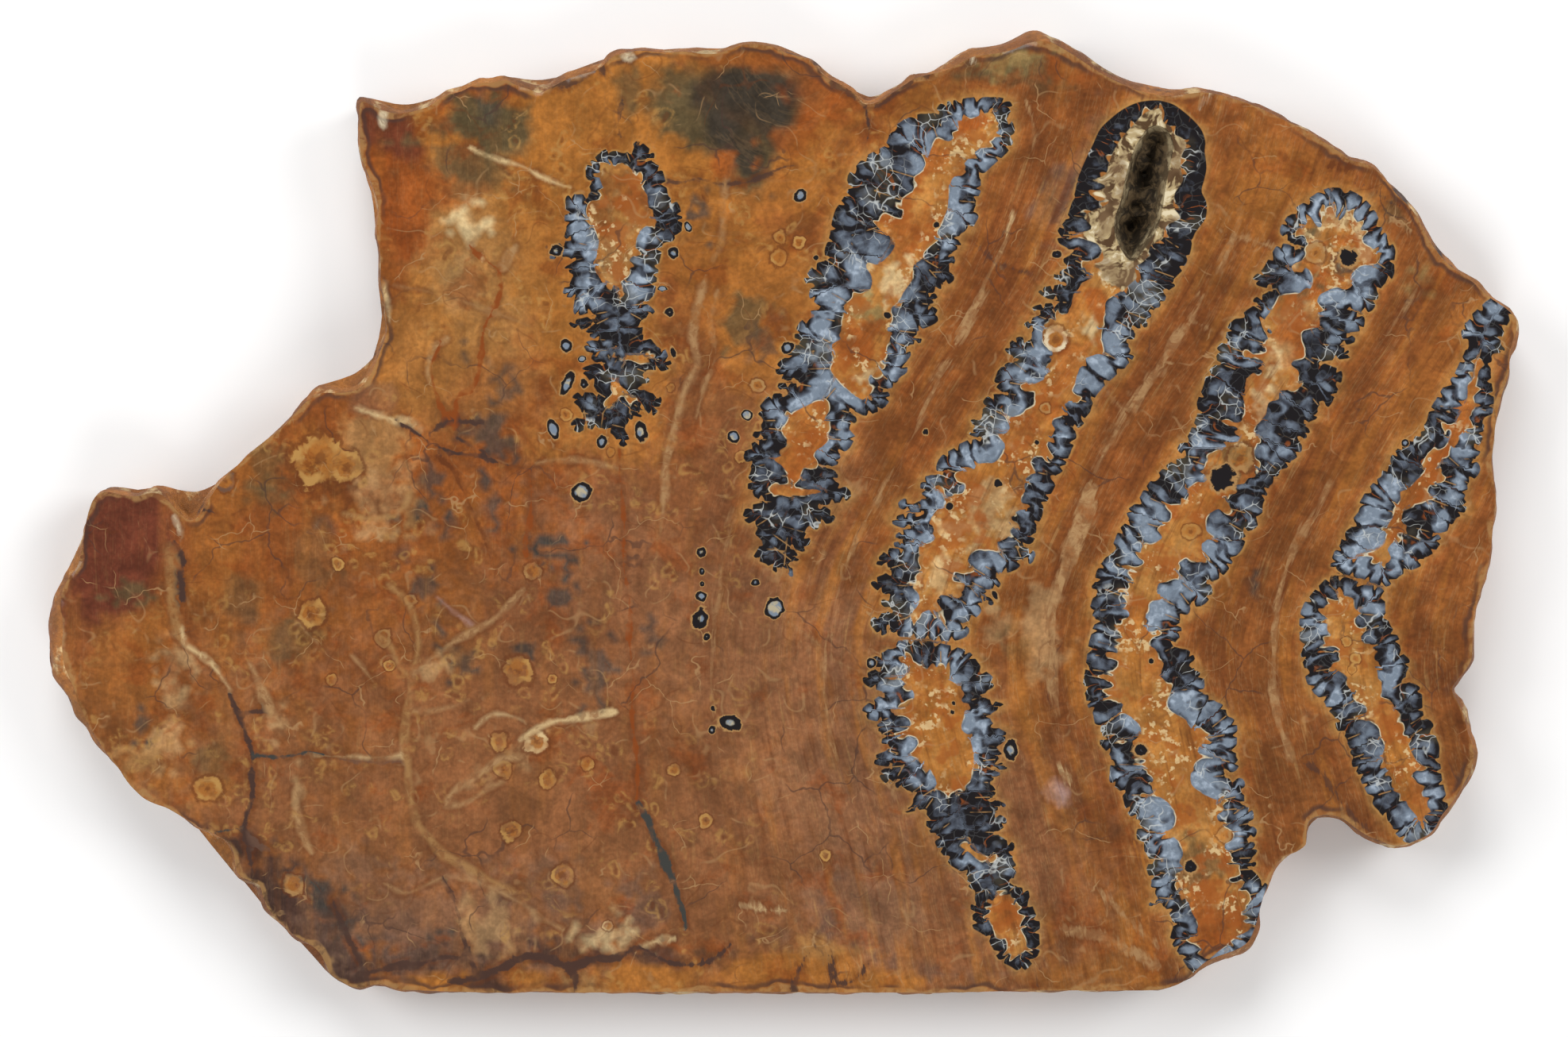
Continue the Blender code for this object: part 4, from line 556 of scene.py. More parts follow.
VEINS = [Stroke(*row) for row in (
    (Tint.CREAM, 0.24, 0.9, ((-25.3, 29.5), (-24, 28.9), (-22.4, 28.4), (-21, 28), (-19.8, 27.3),
     (-18.4, 26.7), (-17.2, 26.3))),
    (Tint.CREAM, 0.22, 0.9, ((-34.6, 8.4), (-33.2, 7.9), (-31.6, 7.4))),
    (Tint.CREAM, 0.7, 0.6, ((-31.4, 7.3), (-30.2, 7.2), (-29.3, 6.6))),
    (Tint.PALE, 0.22, 0.7, ((-20, 3.9), (-18.4, 4.2), (-16.6, 4.2), (-14.9, 3.9), (-13.4, 3.5))),
    (Tint.PALE, 0.55, 0.85, ((-27.2, 14.1), (-28.2, 13.2), (-28.7, 11.8), (-28.6, 10.4))),
    (Tint.PALE, 0.6, 0.75, ((-21.6, 21.6), (-22.3, 20.6), (-22.6, 19.6))),
    (Tint.PALE, 0.10, 0.4, ((-31.6, 18.4), (-29, 17.9), (-26, 17.1), (-23.2, 16.1), (-20.6, 15.1))),
    (Tint.CREAM, 0.30, 0.8, ((-48.8, -9.6), (-48.5, -10.8), (-47.5, -11.5), (-46.4, -12.3), (-45.6, -13.4),
     (-44.9, -14.4))),
    (Tint.TAN, 0.9, 0.6, ((-49.9, -2.6), (-49.7, -4.6), (-49.6, -6.8), (-49.2, -9), (-48.9, -10.4))),
    (Tint.IVORY, 0.5, 0.7, ((-49.4, -0.4), (-49.1, -1.2), (-48.9, -1.9))),
    (Tint.PALE, 0.7, 0.85, ((-43.4, -12.2), (-42.6, -13.6), (-42.1, -15), (-41.6, -16.4), (-40.6, -17.6))),
    (Tint.PALE, 0.35, 0.85, ((-21, -6.3), (-22, -7.3), (-23.4, -8.7), (-25, -9.7), (-26.8, -10.7),
     (-28.4, -11.9), (-30, -13.3))),
    (Tint.TAN, 0.5, 0.7, ((-32, -5.9), (-30.9, -6.9), (-30, -8.2), (-29.6, -9.6), (-29.6, -11.2),
     (-29.9, -12.6))),
    (Tint.TAN, 0.45, 0.7, ((-32.6, -10.2), (-31.6, -11.2), (-31.2, -12.4), (-30.3, -13.4))),
    (Tint.TAN, 0.55, 0.7, ((-30.1, -13.6), (-30.4, -15.6), (-30.6, -17.4), (-30.8, -19), (-30.5, -20.6),
     (-30.3, -22.6), (-30, -24.2), (-29.5, -25.6), (-28.6, -26.6), (-27.5, -27.9), (-26, -28.7), (-24, -29.8),
     (-21.6, -31))),
    (Tint.PALE, 0.22, 0.7, ((-27.2, -29.6), (-25, -30), (-22.8, -31), (-20.6, -32.2), (-19.2, -33.2),
     (-17.8, -34))),
    (Tint.PALE, 0.22, 0.6, ((-32.4, -30.2), (-30.6, -31), (-29, -30.4), (-27.4, -29.6))),
    (Tint.PALE, 0.24, 0.7, ((-29.9, -16.2), (-28.4, -16.2), (-27, -15.9), (-25.4, -15.3))),
    (Tint.CREAM, 0.30, 0.6, ((-24.9, -17.6), (-24, -16.7), (-22.5, -16.5), (-21, -17))),
    (Tint.CREAM, 0.45, 0.85, ((-13.6, -16.3), (-15.4, -16.6), (-17.2, -16.9), (-19, -17.2), (-20.4, -17.9),
     (-21.3, -18.6))),
    (Tint.PALE, 0.35, 0.8, ((-21.4, -19.9), (-23, -20.3), (-24.6, -21.3), (-26, -22.2), (-27.1, -23.2),
     (-27.3, -24))),
    (Tint.PALE, 0.30, 0.75, ((-27, -24), (-25.4, -23.6), (-24, -22.6), (-22.6, -22))),
    (Tint.PALE, 0.22, 0.7, ((-35.1, -11.6), (-34.1, -12.7), (-33.2, -13.9))),
    (Tint.PALE, 0.5, 0.8, ((-39.3, -22), (-39.6, -23.4), (-39.3, -25), (-38.8, -26.7), (-38.2, -27.8))),
    (Tint.PINK, 0.14, 0.6, ((-28, -7), (-26.6, -8.2), (-25.2, -9.2))),
    (Tint.TAN, 0.4, 0.7, ((-35.6, -0.2), (-33.8, -0.6), (-31.8, -0.4), (-30.6, 0.6), (-30.2, 2.4),
     (-30.6, 4.2))),
    (Tint.CREAM, 0.14, 0.7, ((-38, -19.9), (-35.6, -19.9), (-33, -20), (-31, -19.8))),
    (Tint.PALE, 0.5, 0.55, ((-4.6, 27.2), (-4.7, 25.4), (-4.8, 23.4), (-5, 21.8), (-5.6, 20.4))),
    (Tint.PALE, 0.65, 0.8, ((-6.2, 19.2), (-6.6, 17.6), (-7.1, 15.6), (-7.2, 13.8), (-6.8, 12.2),
     (-7.6, 10.6), (-8.2, 9), (-8.8, 6.6), (-9.4, 4), (-9.6, 1.2), (-9.8, -1.6))),
    (Tint.PALE, 0.30, 0.7, ((-5.2, 18), (-5.8, 15.2), (-5.4, 12.8), (-6.4, 10), (-7, 7.6))),
    (Tint.PALE, 0.30, 0.5, ((-3.8, 0.6), (-4.6, -2.6), (-5, -6), (-5.6, -9.4), (-5.8, -13), (-5.4, -16.6))),
    (Tint.PALE, 0.24, 0.8, ((19.8, 33.4), (20.3, 32), (20.5, 30.4), (20.4, 28.8))),
    (Tint.CREAM, 0.5, 0.75, ((18.7, 24.2), (18.4, 23), (18.2, 22.2))),
    (Tint.PALE, 0.35, 0.7, ((18.4, 22.6), (17.6, 20.8), (16.8, 19.1), (15.6, 16.8))),
    (Tint.PALE, 1.15, 0.9, ((16.4, 18), (15.6, 16.6), (14.8, 14.9), (14.1, 13.6))),
    (Tint.PALE, 0.8, 0.8, ((13.6, 12.4), (12.7, 10.9), (12.2, 9.6))),
    (Tint.PALE, 0.26, 0.7, ((12.2, 10), (11.2, 7.4), (9.8, 4.6), (8.4, 2.2), (6.9, -0.6), (5.4, -4),
     (4.2, -8), (3.4, -12), (3.6, -16), (4.6, -20.2))),
    (Tint.PALE, 0.40, 0.75, ((37.6, 25.2), (37, 23.4), (36.3, 21.4), (35.3, 19.4))),
    (Tint.PALE, 0.7, 0.8, ((34.2, 17.6), (33, 15.6), (31.9, 13.6), (30.4, 11.4), (29, 9.4), (27.6, 7.4),
     (26.4, 5.2), (25.4, 3.2))),
    (Tint.PALE, 1.7, 0.95, ((25, 2.2), (24.8, 0.2), (24, -2), (23.1, -4.4))),
    (Tint.PALE, 1, 0.9, ((23.1, -4.4), (22.3, -6.6), (21.5, -8.4))),
    (Tint.PALE, 0.7, 0.75, ((22, -8.6), (22.2, -11), (21.9, -13), (22.1, -15.2), (22.5, -17.8))),
    (Tint.CREAM, 0.45, 0.75, ((22.6, -20.4), (22.9, -21.2), (23.4, -22.2))),
    (Tint.PALE, 0.26, 0.7, ((51.6, 18), (50.8, 16.8), (49.8, 15.2), (48.4, 13.2))),
    (Tint.PALE, 0.7, 0.6, ((44.6, 2.4), (43.2, -0.2), (41.8, -2.4), (40.9, -4.6))),
    (Tint.PALE, 0.7, 0.8, ((40.9, -4.6), (40.4, -7), (40, -9.4), (39.9, -12.2), (40, -14.8), (40.4, -17.2),
     (41.4, -20.2))),
    (Tint.PALE, 0.20, 0.7, ((35, 23.4), (36.2, 22.4), (37.6, 22.3), (38.6, 21.9), (39.8, 21.5))),
    (Tint.PALE, 0.14, 0.6, ((32.8, 15.4), (34, 15.2), (35, 14.6))),
    (Tint.PALE, 0.14, 0.6, ((26, 10.2), (27, 9), (28, 8))),
    (Tint.PALE, 0.8, 0.7, ((22.6, -33.9), (24.6, -34.2), (26.6, -34.8), (28.6, -35.9), (30.6, -37))),
    (Tint.PALE, 0.26, 0.7, ((25.6, -30.6), (27, -32), (28.6, -33.6), (30.6, -35.4))),
    (Tint.OCHRE, 0.40, 0.8, ((28.2, -24.6), (28.7, -26.2), (29.2, -28), (29.7, -29.4))),
    (Tint.PALE, 0.22, 0.5, ((0.6, -9), (2.4, -10.4), (4.4, -12.2), (6.4, -13))),
    (Tint.CREAM, 0.35, 0.7, ((-11.4, -35.4), (-10.4, -35), (-8.8, -34.7))),
    (Tint.CREAM, 0.26, 0.6, ((-3.4, -32), (-1.8, -32.3), (0.2, -32.5))),
    (Tint.PALE, 0.30, 0.5, ((38.8, -27.8), (39.4, -28.4), (39.9, -28.8))),
    (Tint.IVORY, 0.35, 0.8, ((34, 32.7), (34.6, 33.6), (35, 34.4))),
    (Tint.IVORY, 0.6, 0.8, ((15.3, 37.6), (15.5, 36.9), (15.4, 36.3))),
    (Tint.IVORY, 0.5, 0.8, ((-32.3, 33), (-32.5, 32), (-32.4, 31.3))),
    (Tint.CREAM, 0.5, 0.8, ((-32.3, 18.7), (-32.2, 17.4), (-32, 16.4), (-31.9, 15.4))),
    (Tint.IVORY, 0.8, 0.7, ((-12.9, 37), (-12.4, 36.95), (-12, 36.9))),
)]


@dataclass(frozen=True)
class Islet:
    """A small loop of enamel or a spot: middle, half sizes, turn, and the half size of its pale heart."""

    x: float
    y: float
    half_width: float
    half_height: float
    turn_deg: float = 0.0
    heart: float = 0.5


ISLETS = [Islet(*row) for row in (
    (-17.55, 13.45, 0.45, 0.55), (-16.25, 12.4, 0.35, 0.28, 0, 0.7), (-17.45, 10.4, 0.45, 0.9, -25),
    (-16.1, 10.35, 0.36, 0.36, 0, 0.3), (-18.6, 6.65, 0.45, 0.85, 20, 0.6), (-14.65, 5.65, 0.38, 0.55),
    (-11.5, 6.5, 0.55, 0.72, 10, 0.55), (-8.85, 13, 0.22, 0.5, 15, 0.1), (-9.15, 16.25, 0.38, 0.38, 0, 0.35),
    (-8.8, 21, 0.45, 0.5, 0, 0.4), (-7.65, 23.1, 0.3, 0.45, 20, 0.6), (-9.7, 18.1, 0.4, 0.2, 0, 0.8),
    (0.45, 13.35, 0.5, 0.5), (1.5, 25.7, 0.5, 0.6, -40, 0.5), (2.75, 20.6, 0.22, 0.22, 0, 0.3),
    (-2.85, 7.8, 0.5, 0.45, 0, 0.7), (-3.95, 6.05, 0.55, 0.5, 0, 0.6), (-2.15, -5.75, 0.35, 0.32, 0, 0.4),
    (-0.65, -7.85, 0.8, 0.85, 0, 0.7), (-6.55, -3.3, 0.4, 0.42, 0, 0.4), (-6.5, -4.85, 0.25, 0.28, 0, 0.4),
    (-6.5, -5.9, 0.2, 0.25, 0, 0.4), (-6.55, -6.9, 0.5, 0.42, 0, 0.5), (-6.65, -8.7, 0.68, 0.75, 0, 0.35),
    (-6.1, -10.2, 0.3, 0.35, 0, 0.3), (-4.2, -17.2, 0.95, 0.6, -10, 0.45), (-5.7, -17.8, 0.3, 0.35, 0, 0.4),
    (-5.6, -16, 0.25, 0.25, 0, 0.4), (-16.3, 1.6, 0.85, 0.75, 0, 0.6), (22.3, 20.9, 0.45, 0.3, 0, 0.2),
    (18.6, -19.4, 0.6, 0.8, 0, 0.5), (7.25, -12.3, 0.4, 0.4, 0, 0.5), (11.65, 6.5, 0.2, 0.25, 0, 0),
    (17.3, -6.8, 0.25, 0.5, 30, 0.2), (50.65, 5.55, 0.3, 0.3, 0, 0.5), (-18.4, 21.2, 0.5, 0.45, 0, 0.4),
)]


@dataclass(frozen=True)
class Eye:
    """A round fossil cell: middle, radius and the tint of its ring."""

    x: float
    y: float
    radius: float
    tint: Tint = Tint.HONEY


EYES = [Eye(*row) for row in (
    (22.2, 14, 1.05, Tint.IVORY), (37.3, 4.3, 1.15, Tint.TAN), (43.35, 21, 0.9, Tint.TAN),
    (35.9, -26.35, 0.75, Tint.TAN), (-20, -18.7, 1.05, Tint.CREAM), (-23, -18.7, 0.8), (-22.7, -21, 0.75),
    (-19, -21.8, 0.85), (-21.4, -12.9, 1.2), (-32.4, -10.3, 0.75, Tint.TAN), (-31.9, -12.5, 0.5),
    (-30.2, -7.2, 0.55, Tint.TAN), (-20.3, -4.8, 0.8, Tint.TAN), (-38.3, -8.3, 1.2), (-36.6, -13.7, 0.5),
    (-36.1, -4.3, 0.6), (-46.6, -22.5, 1.1), (-39.7, -30.4, 0.9, Tint.TAN), (-37.6, 4.2, 2.1),
    (-35.4, 3.6, 1.4), (-18.6, -13.6, 0.4), (-45.3, 2.4, 0.9, Tint.PLUM), (-0.2, 22.3, 0.6),
    (-0.3, 20.6, 0.7), (1.4, 21.8, 0.6), (-22, -26, 0.9), (-13.9, 4.8, 0.4), (-17.6, 7.9, 0.5), (-9, 10, 0.4),
    (-2, 10.2, 0.6, Tint.TAN), (-3.3, 4.4, 0.5), (-14.2, -33.7, 0.5, Tint.CREAM), (-17.8, -29.6, 1),
    (-8.8, -21, 0.6), (-6.2, -25.2, 0.6), (-15.8, -20.5, 0.6), (3.5, -28, 0.5), (21.4, 8.4, 0.5, Tint.TAN),
    (28.2, 18.7, 0.3, Tint.IVORY), (42.9, 10.55, 0.45, Tint.OCHRE), (45.9, -10.6, 0.45, Tint.HONEY),
    (46.6, -11.9, 0.5, Tint.HONEY), (46.3, -12.9, 0.35, Tint.HONEY), (33.2, -1.6, 0.7, Tint.HONEY),
)]

SPOTS = [  # dark specks: middle and radius
    (17.5, 2.25, 0.34), (13.65, 0.4, 0.28), (20.7, 5.6, 0.2), (8.55, 15.9, 0.3), (12.55, 23.3, 0.24),
    (30, -12.2, 0.22),
    (13.85, -16.3, 0.2), (13.9, -15.6, 0.15), (29.2, -19.4, 0.5), (46.05, 20.65, 0.7), (35.8, 2.7, 1),
    (33.2, -28.9, 0.5),
]

# Stretches of enamel where it is black, and where it is pale blue-grey: middle and radius
BLACK_STRETCHES: list[tuple[float, float, float]] = [
    (-13, 9.5, 5), (-9, 24, 2), (-17, 19.5, 1.6), (7, 24.5, 4.8), (11.5, 18.5, 2), (0.5, 0.5, 5.5),
    (28.5, 29, 8.5),
    (23, 18, 3), (31.5, 20.5, 3), (8.5, -7.5, 2.5), (14.5, -25, 4), (18, -34, 5), (36, 9, 3.5),
    (40, 19, 2.2),
    (42.5, 10, 6), (31.8, -12.5, 2.5), (37.7, -29, 2), (51, 4.5, 2), (51.5, -1, 1.6), (52, -17.5, 2.6),
    (28.6, -19, 1.4),
]
PALE_STRETCHES: list[tuple[float, float, float]] = [
    (-15.5, 23, 2.2), (3.5, 13.5, 2.4), (10, 13.5, 2.5), (15.5, 26, 4), (27, 13.5, 2.5), (20, 11.5, 1.8),
    (15, 3, 5),
    (27.8, -3.5, 2.4), (33.5, -5.5, 3.2), (35, -20.5, 5), (46.5, 17.5, 2.5), (53, -22.5, 2), (48, -2, 2),
    (30, -26, 3.5),
]


# Curves and distances on whole arrays


def smooth_curve(points: Sequence[Point], step: float, closed: bool = True) -> np.ndarray:
    """Smooth curve through points, read off at an even spacing.

    Between two points it is a Catmull-Rom curve: half of 2b + (c-a)t + (2a-5b+4c-d)t^2 + (3b-a-3c+d)t^3,
    where b and c are the two points, a and d their neighbours and t runs from 0 to 1.

    Args:
        points: the points it passes through, in order.
        step: the spacing along the curve.
        closed: whether it runs back to its first point.

    Returns:
        An array of points, one row each.
    """
    p = np.asarray(points, float)
    if closed:
        a, b, c, d = np.roll(p, 1, 0), p, np.roll(p, -1, 0), np.roll(p, -2, 0)
    else:
        q = np.vstack([2 * p[0] - p[1], p, 2 * p[-1] - p[-2]])
        a, b, c, d = q[:-3], q[1:-2], q[2:-1], q[3:]
    t = np.linspace(0.0, 1.0, 10, endpoint=False)[None, :, None]
    a, b, c, d = (k[:, None, :] for k in (a, b, c, d))
    curve = 0.5 * (2 * b + (c - a) * t + (2 * a - 5 * b + 4 * c - d) * t**2 + (3 * b - a - 3 * c + d) * t**3)
    curve = curve.reshape(-1, p.shape[1])
    curve = np.vstack([curve, curve[:1] if closed else p[-1:]])
    along = np.concatenate([[0.0], np.cumsum(np.linalg.norm(np.diff(curve, axis=0), axis=1))])
    count = max(int(round(along[-1] / step)), 2) + (not closed)
    stops = np.linspace(0.0, along[-1], count, endpoint=not closed)
    return np.column_stack([np.interp(stops, along, curve[:, k]) for k in range(p.shape[1])])


@dataclass
class Nearest:
    """What a set of points measures to the nearest of many line segments."""

    away: np.ndarray
    segment: np.ndarray
    share: np.ndarray
    crossings: np.ndarray


def nearest_segment(points: np.ndarray, starts: np.ndarray, ends: np.ndarray) -> Nearest:
    """Measures each point to its nearest segment.

    A point's foot on a segment is at the share t = (p-a).(b-a) / |b-a|^2 of its length, held to 0..1.
    A ray from the point towards +X counts the segments that it crosses, which is odd inside a loop.

    Args:
        points: where to measure from, one row each.
        starts: the segments' first ends.
        ends: the segments' last ends.

    Returns:
        The distance, the segment's index, the foot's share of it and the number of crossings.
    """
    a, b = starts.astype(np.float32), ends.astype(np.float32)
    run = b - a
    length2 = np.maximum((run**2).sum(1), 1e-12)
    rise = np.where(np.abs(run[:, 1]) < 1e-9, 1e-9, run[:, 1])
    parts = []
    for block in np.array_split(points.astype(np.float32), max(1, len(points) * len(a) // 6_000_000 + 1)):
        off = block[:, None, :] - a[None]
        share = np.clip((off * run[None]).sum(2) / length2, 0.0, 1.0)
        gap2 = ((off - share[..., None] * run[None]) ** 2).sum(2)
        best = gap2.argmin(1)
        rows = np.arange(len(block))
        spans = (a[None, :, 1] > block[:, None, 1]) != (b[None, :, 1] > block[:, None, 1])
        crossed = spans & (block[:, None, 0] < a[None, :, 0] + run[None, :, 0] * off[..., 1] / rise)
        parts.append((np.sqrt(gap2[rows, best]), best, share[rows, best], crossed.sum(1)))
    return Nearest(*(np.concatenate(column) for column in zip(*parts)))


def depth_in_loop(points: np.ndarray, loop: np.ndarray, reach: float) -> np.ndarray:
    """Distance to a closed loop, positive inside it, and -reach wherever it is further off than that.

    Args:
        points: where to measure.
        loop: the loop's points, in order.
        reach: how far outside the loop's box it is still measured.

    Returns:
        One signed distance for each point.
    """
    depth = np.full(len(points), -reach, np.float32)
    near = np.all((points > loop.min(0) - reach) & (points < loop.max(0) + reach), axis=1)
    found = nearest_segment(points[near], loop, np.roll(loop, -1, 0))
    depth[near] = np.where(found.crossings % 2 == 1, found.away, -found.away)
    return np.maximum(depth, -reach)


def smoothstep(low: float, high: float, value: np.ndarray) -> np.ndarray:
    """0 below low, 1 above high and 3t^2 - 2t^3 between them."""
    t = np.clip((value - low) / (high - low), 0.0, 1.0)
    return t * t * (3.0 - 2.0 * t)


def hex_grid(low: np.ndarray, high: np.ndarray, step: float, seed: int) -> np.ndarray:
    """Rows of points at a spacing, every other row half a step on, each moved a little at random.

    Args:
        low: the lowest corner of the box it fills.
        high: the highest corner.
        step: the spacing.
        seed: the seed of the random moves, which are up to 0.16 of a step.

    Returns:
        The points, one row each.
    """
    xs = np.arange(low[0], high[0], step)
    ys = np.arange(low[1], high[1], step * 0.866)
    x, y = np.meshgrid(xs, ys)
    x = x + (np.arange(len(ys)) % 2)[:, None] * step / 2
    grid = np.column_stack([x.ravel(), y.ravel()])
    return grid + np.random.default_rng(seed).uniform(-0.16, 0.16, grid.shape) * step


def soft_noise(points: np.ndarray, size: float, seed: int) -> np.ndarray:
    """Smooth noise from -1 to 1: random values on a square lattice, blended with 3t^2 - 2t^3.

    Args:
        points: where to read it, one row each, any number of columns up to three.
        size: the lattice's spacing.
        seed: the seed of the lattice's values.

    Returns:
        One value for each point.
    """
    table = np.random.default_rng(seed).uniform(-1.0, 1.0, NOISE_VALUES)
    p = points / size
    cell = np.floor(p).astype(np.int64)
    t = p - cell
    t = t * t * (3.0 - 2.0 * t)
    strides = np.array(NOISE_STRIDES)[: p.shape[1]]
    total = np.zeros(len(p))
    for corner in np.ndindex(*(2,) * p.shape[1]):
        step = np.array(corner)
        weight = np.prod(np.where(step == 1, t, 1.0 - t), axis=1)
        total += weight * table[((cell + step) * strides).sum(1) % NOISE_VALUES]
    return total


# Settings of the drawing, in millimetres

OUTER_LOOPS = [FIRST_OUTER, SECOND_OUTER, THIRD_OUTER, THIRD_LOWER_OUTER, FOURTH_OUTER, FIFTH_OUTER,
               FIFTH_LOWER_OUTER]
CORE_LOOPS = [FIRST_CORE, FIRST_CREVICE, FIRST_LOWER_CORE, SECOND_CORE, SECOND_LOWER_CORE, SECOND_CREVICE,
              THIRD_CORE, THIRD_LOWER_CORE, THIRD_NECK_CORE, THIRD_LAST_CORE, FOURTH_CORE, FIFTH_CORE,
              FIFTH_LOWER_CORE]
POCKET: Points = [  # the hollow's mouth
    (28.4, 20.3), (29.6, 21.5), (30.5, 23), (30.9, 24.5), (31.2, 26.5), (31.5, 28), (31.8, 29.8), (31.3, 31),
    (30, 31.3), (28.8, 29.8), (28, 27.5), (27.6, 25.5), (27, 23.5), (27.3, 21.8),
]
LEAN: Points = [  # a line down the fourth plate, whose lean the stone's fibres follow
    (36.5, -42), (35.2, -36), (33, -25), (30.4, -13), (31.8, -5), (34.4, 1), (38, 8),
    (43, 16), (47, 24), (50, 33), (52, 42),
]
POCKET_DEPTH = 3.2
POCKET_WALL = 1.9  # how far in from its edge the hollow is at its full depth
CURVE_STEP = 0.25  # between the points of an outline
STROKE_STEP = 0.45  # between the points of a crack or vein
LOOP_APART = 200.0  # added along each outline, so that no two have the same folds
NOTCH_TURN = 0.75  # radians that an outline turns by where it has a notch
SEAM_SHARE = 0.6  # how far through the enamel a notch's seam runs
SEAM_LONGEST = 2.2
# How far from its curve each field is still measured
PLATE_REACH = 6.0
CORE_REACH = 3.0
SEAM_REACH = 1.0
STROKE_REACH = 1.6
POCKET_REACH = 3.0
LOBE_PATCH = 1.9  # width of the patches of dark and pale lobes
PALE_TONE = 0.27
BLACK_TONE = 0.97
NOISE_VALUES = 4096
NOISE_STRIDES = (73856093, 19349663, 83492791)
# Spacing of the face's points: in the enamel, near it and in the cores, and in plain stone
FINE = 0.20
MIDDLE = 0.36
COARSE = 0.57
LATTICE = 0.7  # spacing of the map that tells the three apart
# Heights of the wall's rings as shares of its height, and how many rings the solid's own wall has
WALL_HEIGHTS = (0.0, 0.04, 0.09, 0.16, 0.25, 0.35, 0.45, 0.55, 0.65, 0.75, 0.84, 0.91, 0.96, 1.0)
CAD_LEVELS = 7


# The slab's rim, read from the CAD node


def ring_order(following: np.ndarray, first: int) -> np.ndarray:
    """Points of a closed loop in order, from the index that follows each one.

    Every point's count of steps to the first one is found by doubling: each round adds the count of the
    point that it has reached, which doubles how far it sees.

    Args:
        following: for each point the index of the next one, or its own index where it is on no loop.
        first: the index of the loop's first point.

    Returns:
        The indices of the loop's points in order, from the first.
    """
    reached = following.copy()
    steps = np.ones(len(following), np.int64)
    reached[first], steps[first] = first, 0
    for _ in range(int(np.ceil(np.log2(len(following)))) + 1):
        steps = steps + steps[reached]
        reached = reached[reached]
    on_loop = np.flatnonzero((reached == first) & (np.arange(len(following)) != first))
    return np.concatenate([[first], on_loop[np.argsort(-steps[on_loop])]])


def cad_rings(levels: int) -> np.ndarray:
    """Rings of the CAD slab's wall, from the back up to the polished face.

    Args:
        levels: how many rings the wall has.

    Returns:
        An array of levels by points by 3, every ring counter-clockwise from above.
    """
    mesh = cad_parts[NODE].data.copy()
    flat = np.zeros(len(mesh.vertices) * 3, np.float32)
    mesh.vertices.foreach_get("co", flat)
    mesh.calc_loop_triangles()
    corners = np.zeros(len(mesh.loop_triangles) * 3, np.int32)
    mesh.loop_triangles.foreach_get("vertices", corners)
    places, merged = np.unique(np.round(flat.reshape(-1, 3) / MM, 3), axis=0, return_inverse=True)
    triangles = merged.reshape(-1)[corners].reshape(-1, 3)
    heights = np.round(places[:, 2], 2)
    common, counts = np.unique(heights, return_counts=True)
    rings = []
    for height in np.sort(common[np.argsort(-counts)[:levels]]):
        following = np.arange(len(places))
        top = height == heights.max()
        for k in range(3):
            start, end, other = triangles[:, k], triangles[:, (k + 1) % 3], triangles[:, (k + 2) % 3]
            level = (heights[start] == height) & (heights[end] == height)
            level &= (heights[other] < height) if top else (heights[other] > height)
            following[(end if top else start)[level]] = (start if top else end)[level]
        at_level = np.flatnonzero(heights == height)
        ring = places[ring_order(following, at_level[places[at_level, 0].argmax()])]
        if rings:
            gap = np.linalg.norm(ring[:, :2] - rings[-1][0, :2], axis=1)
            ring = np.roll(ring, -int(gap.argmin()), axis=0)
        rings.append(ring)
    fewest = min(len(ring) for ring in rings)
    return np.stack([smooth_ring(ring, fewest) for ring in rings])


def smooth_ring(ring: np.ndarray, count: int) -> np.ndarray:
    """The same closed ring with a given count of evenly shared out points."""
    if len(ring) == count:
        return ring
    around = np.vstack([ring, ring[:1]])
    along = np.concatenate([[0.0], np.cumsum(np.linalg.norm(np.diff(around, axis=0), axis=1))])
    stops = np.linspace(0.0, along[-1], count, endpoint=False)
    return np.column_stack([np.interp(stops, along, around[:, k]) for k in range(3)])


# The drawing on the face: its outlines and what each point of it measures


@dataclass
class Drawing:
    """The enamel's loops, its seams and the strokes, as smooth curves."""

    outers: list[np.ndarray]
    cores: list[np.ndarray]
    seams: list[np.ndarray]
    strokes: list[np.ndarray]

    @classmethod
    def read(cls) -> "Drawing":
        """Curves through the points that were read off."""
        outers = [smooth_curve(loop, CURVE_STEP) for loop in OUTER_LOOPS]
        cores = [smooth_curve(loop, CURVE_STEP) for loop in CORE_LOOPS]
        every_core, every_outer = np.vstack(cores), np.vstack(outers)
        seams = [seam for loop in outers for seam in fold_seams(loop, every_core, -1.0)]
        seams += [seam for loop in cores for seam in fold_seams(loop, every_outer, 1.0)]
        strokes = [smooth_curve(stroke.route, STROKE_STEP, closed=False) for stroke in CRACKS + VEINS]
        return cls(outers, cores, seams, strokes)

    def lines(self) -> list[tuple[np.ndarray, bool]]:
        """Every curve that the face's triangles follow, and whether it is closed."""
        loops = [(loop, True) for loop in self.outers + self.cores + [smooth_curve(POCKET, CURVE_STEP)]]
        return loops + [(line, False) for line in self.seams + self.strokes]


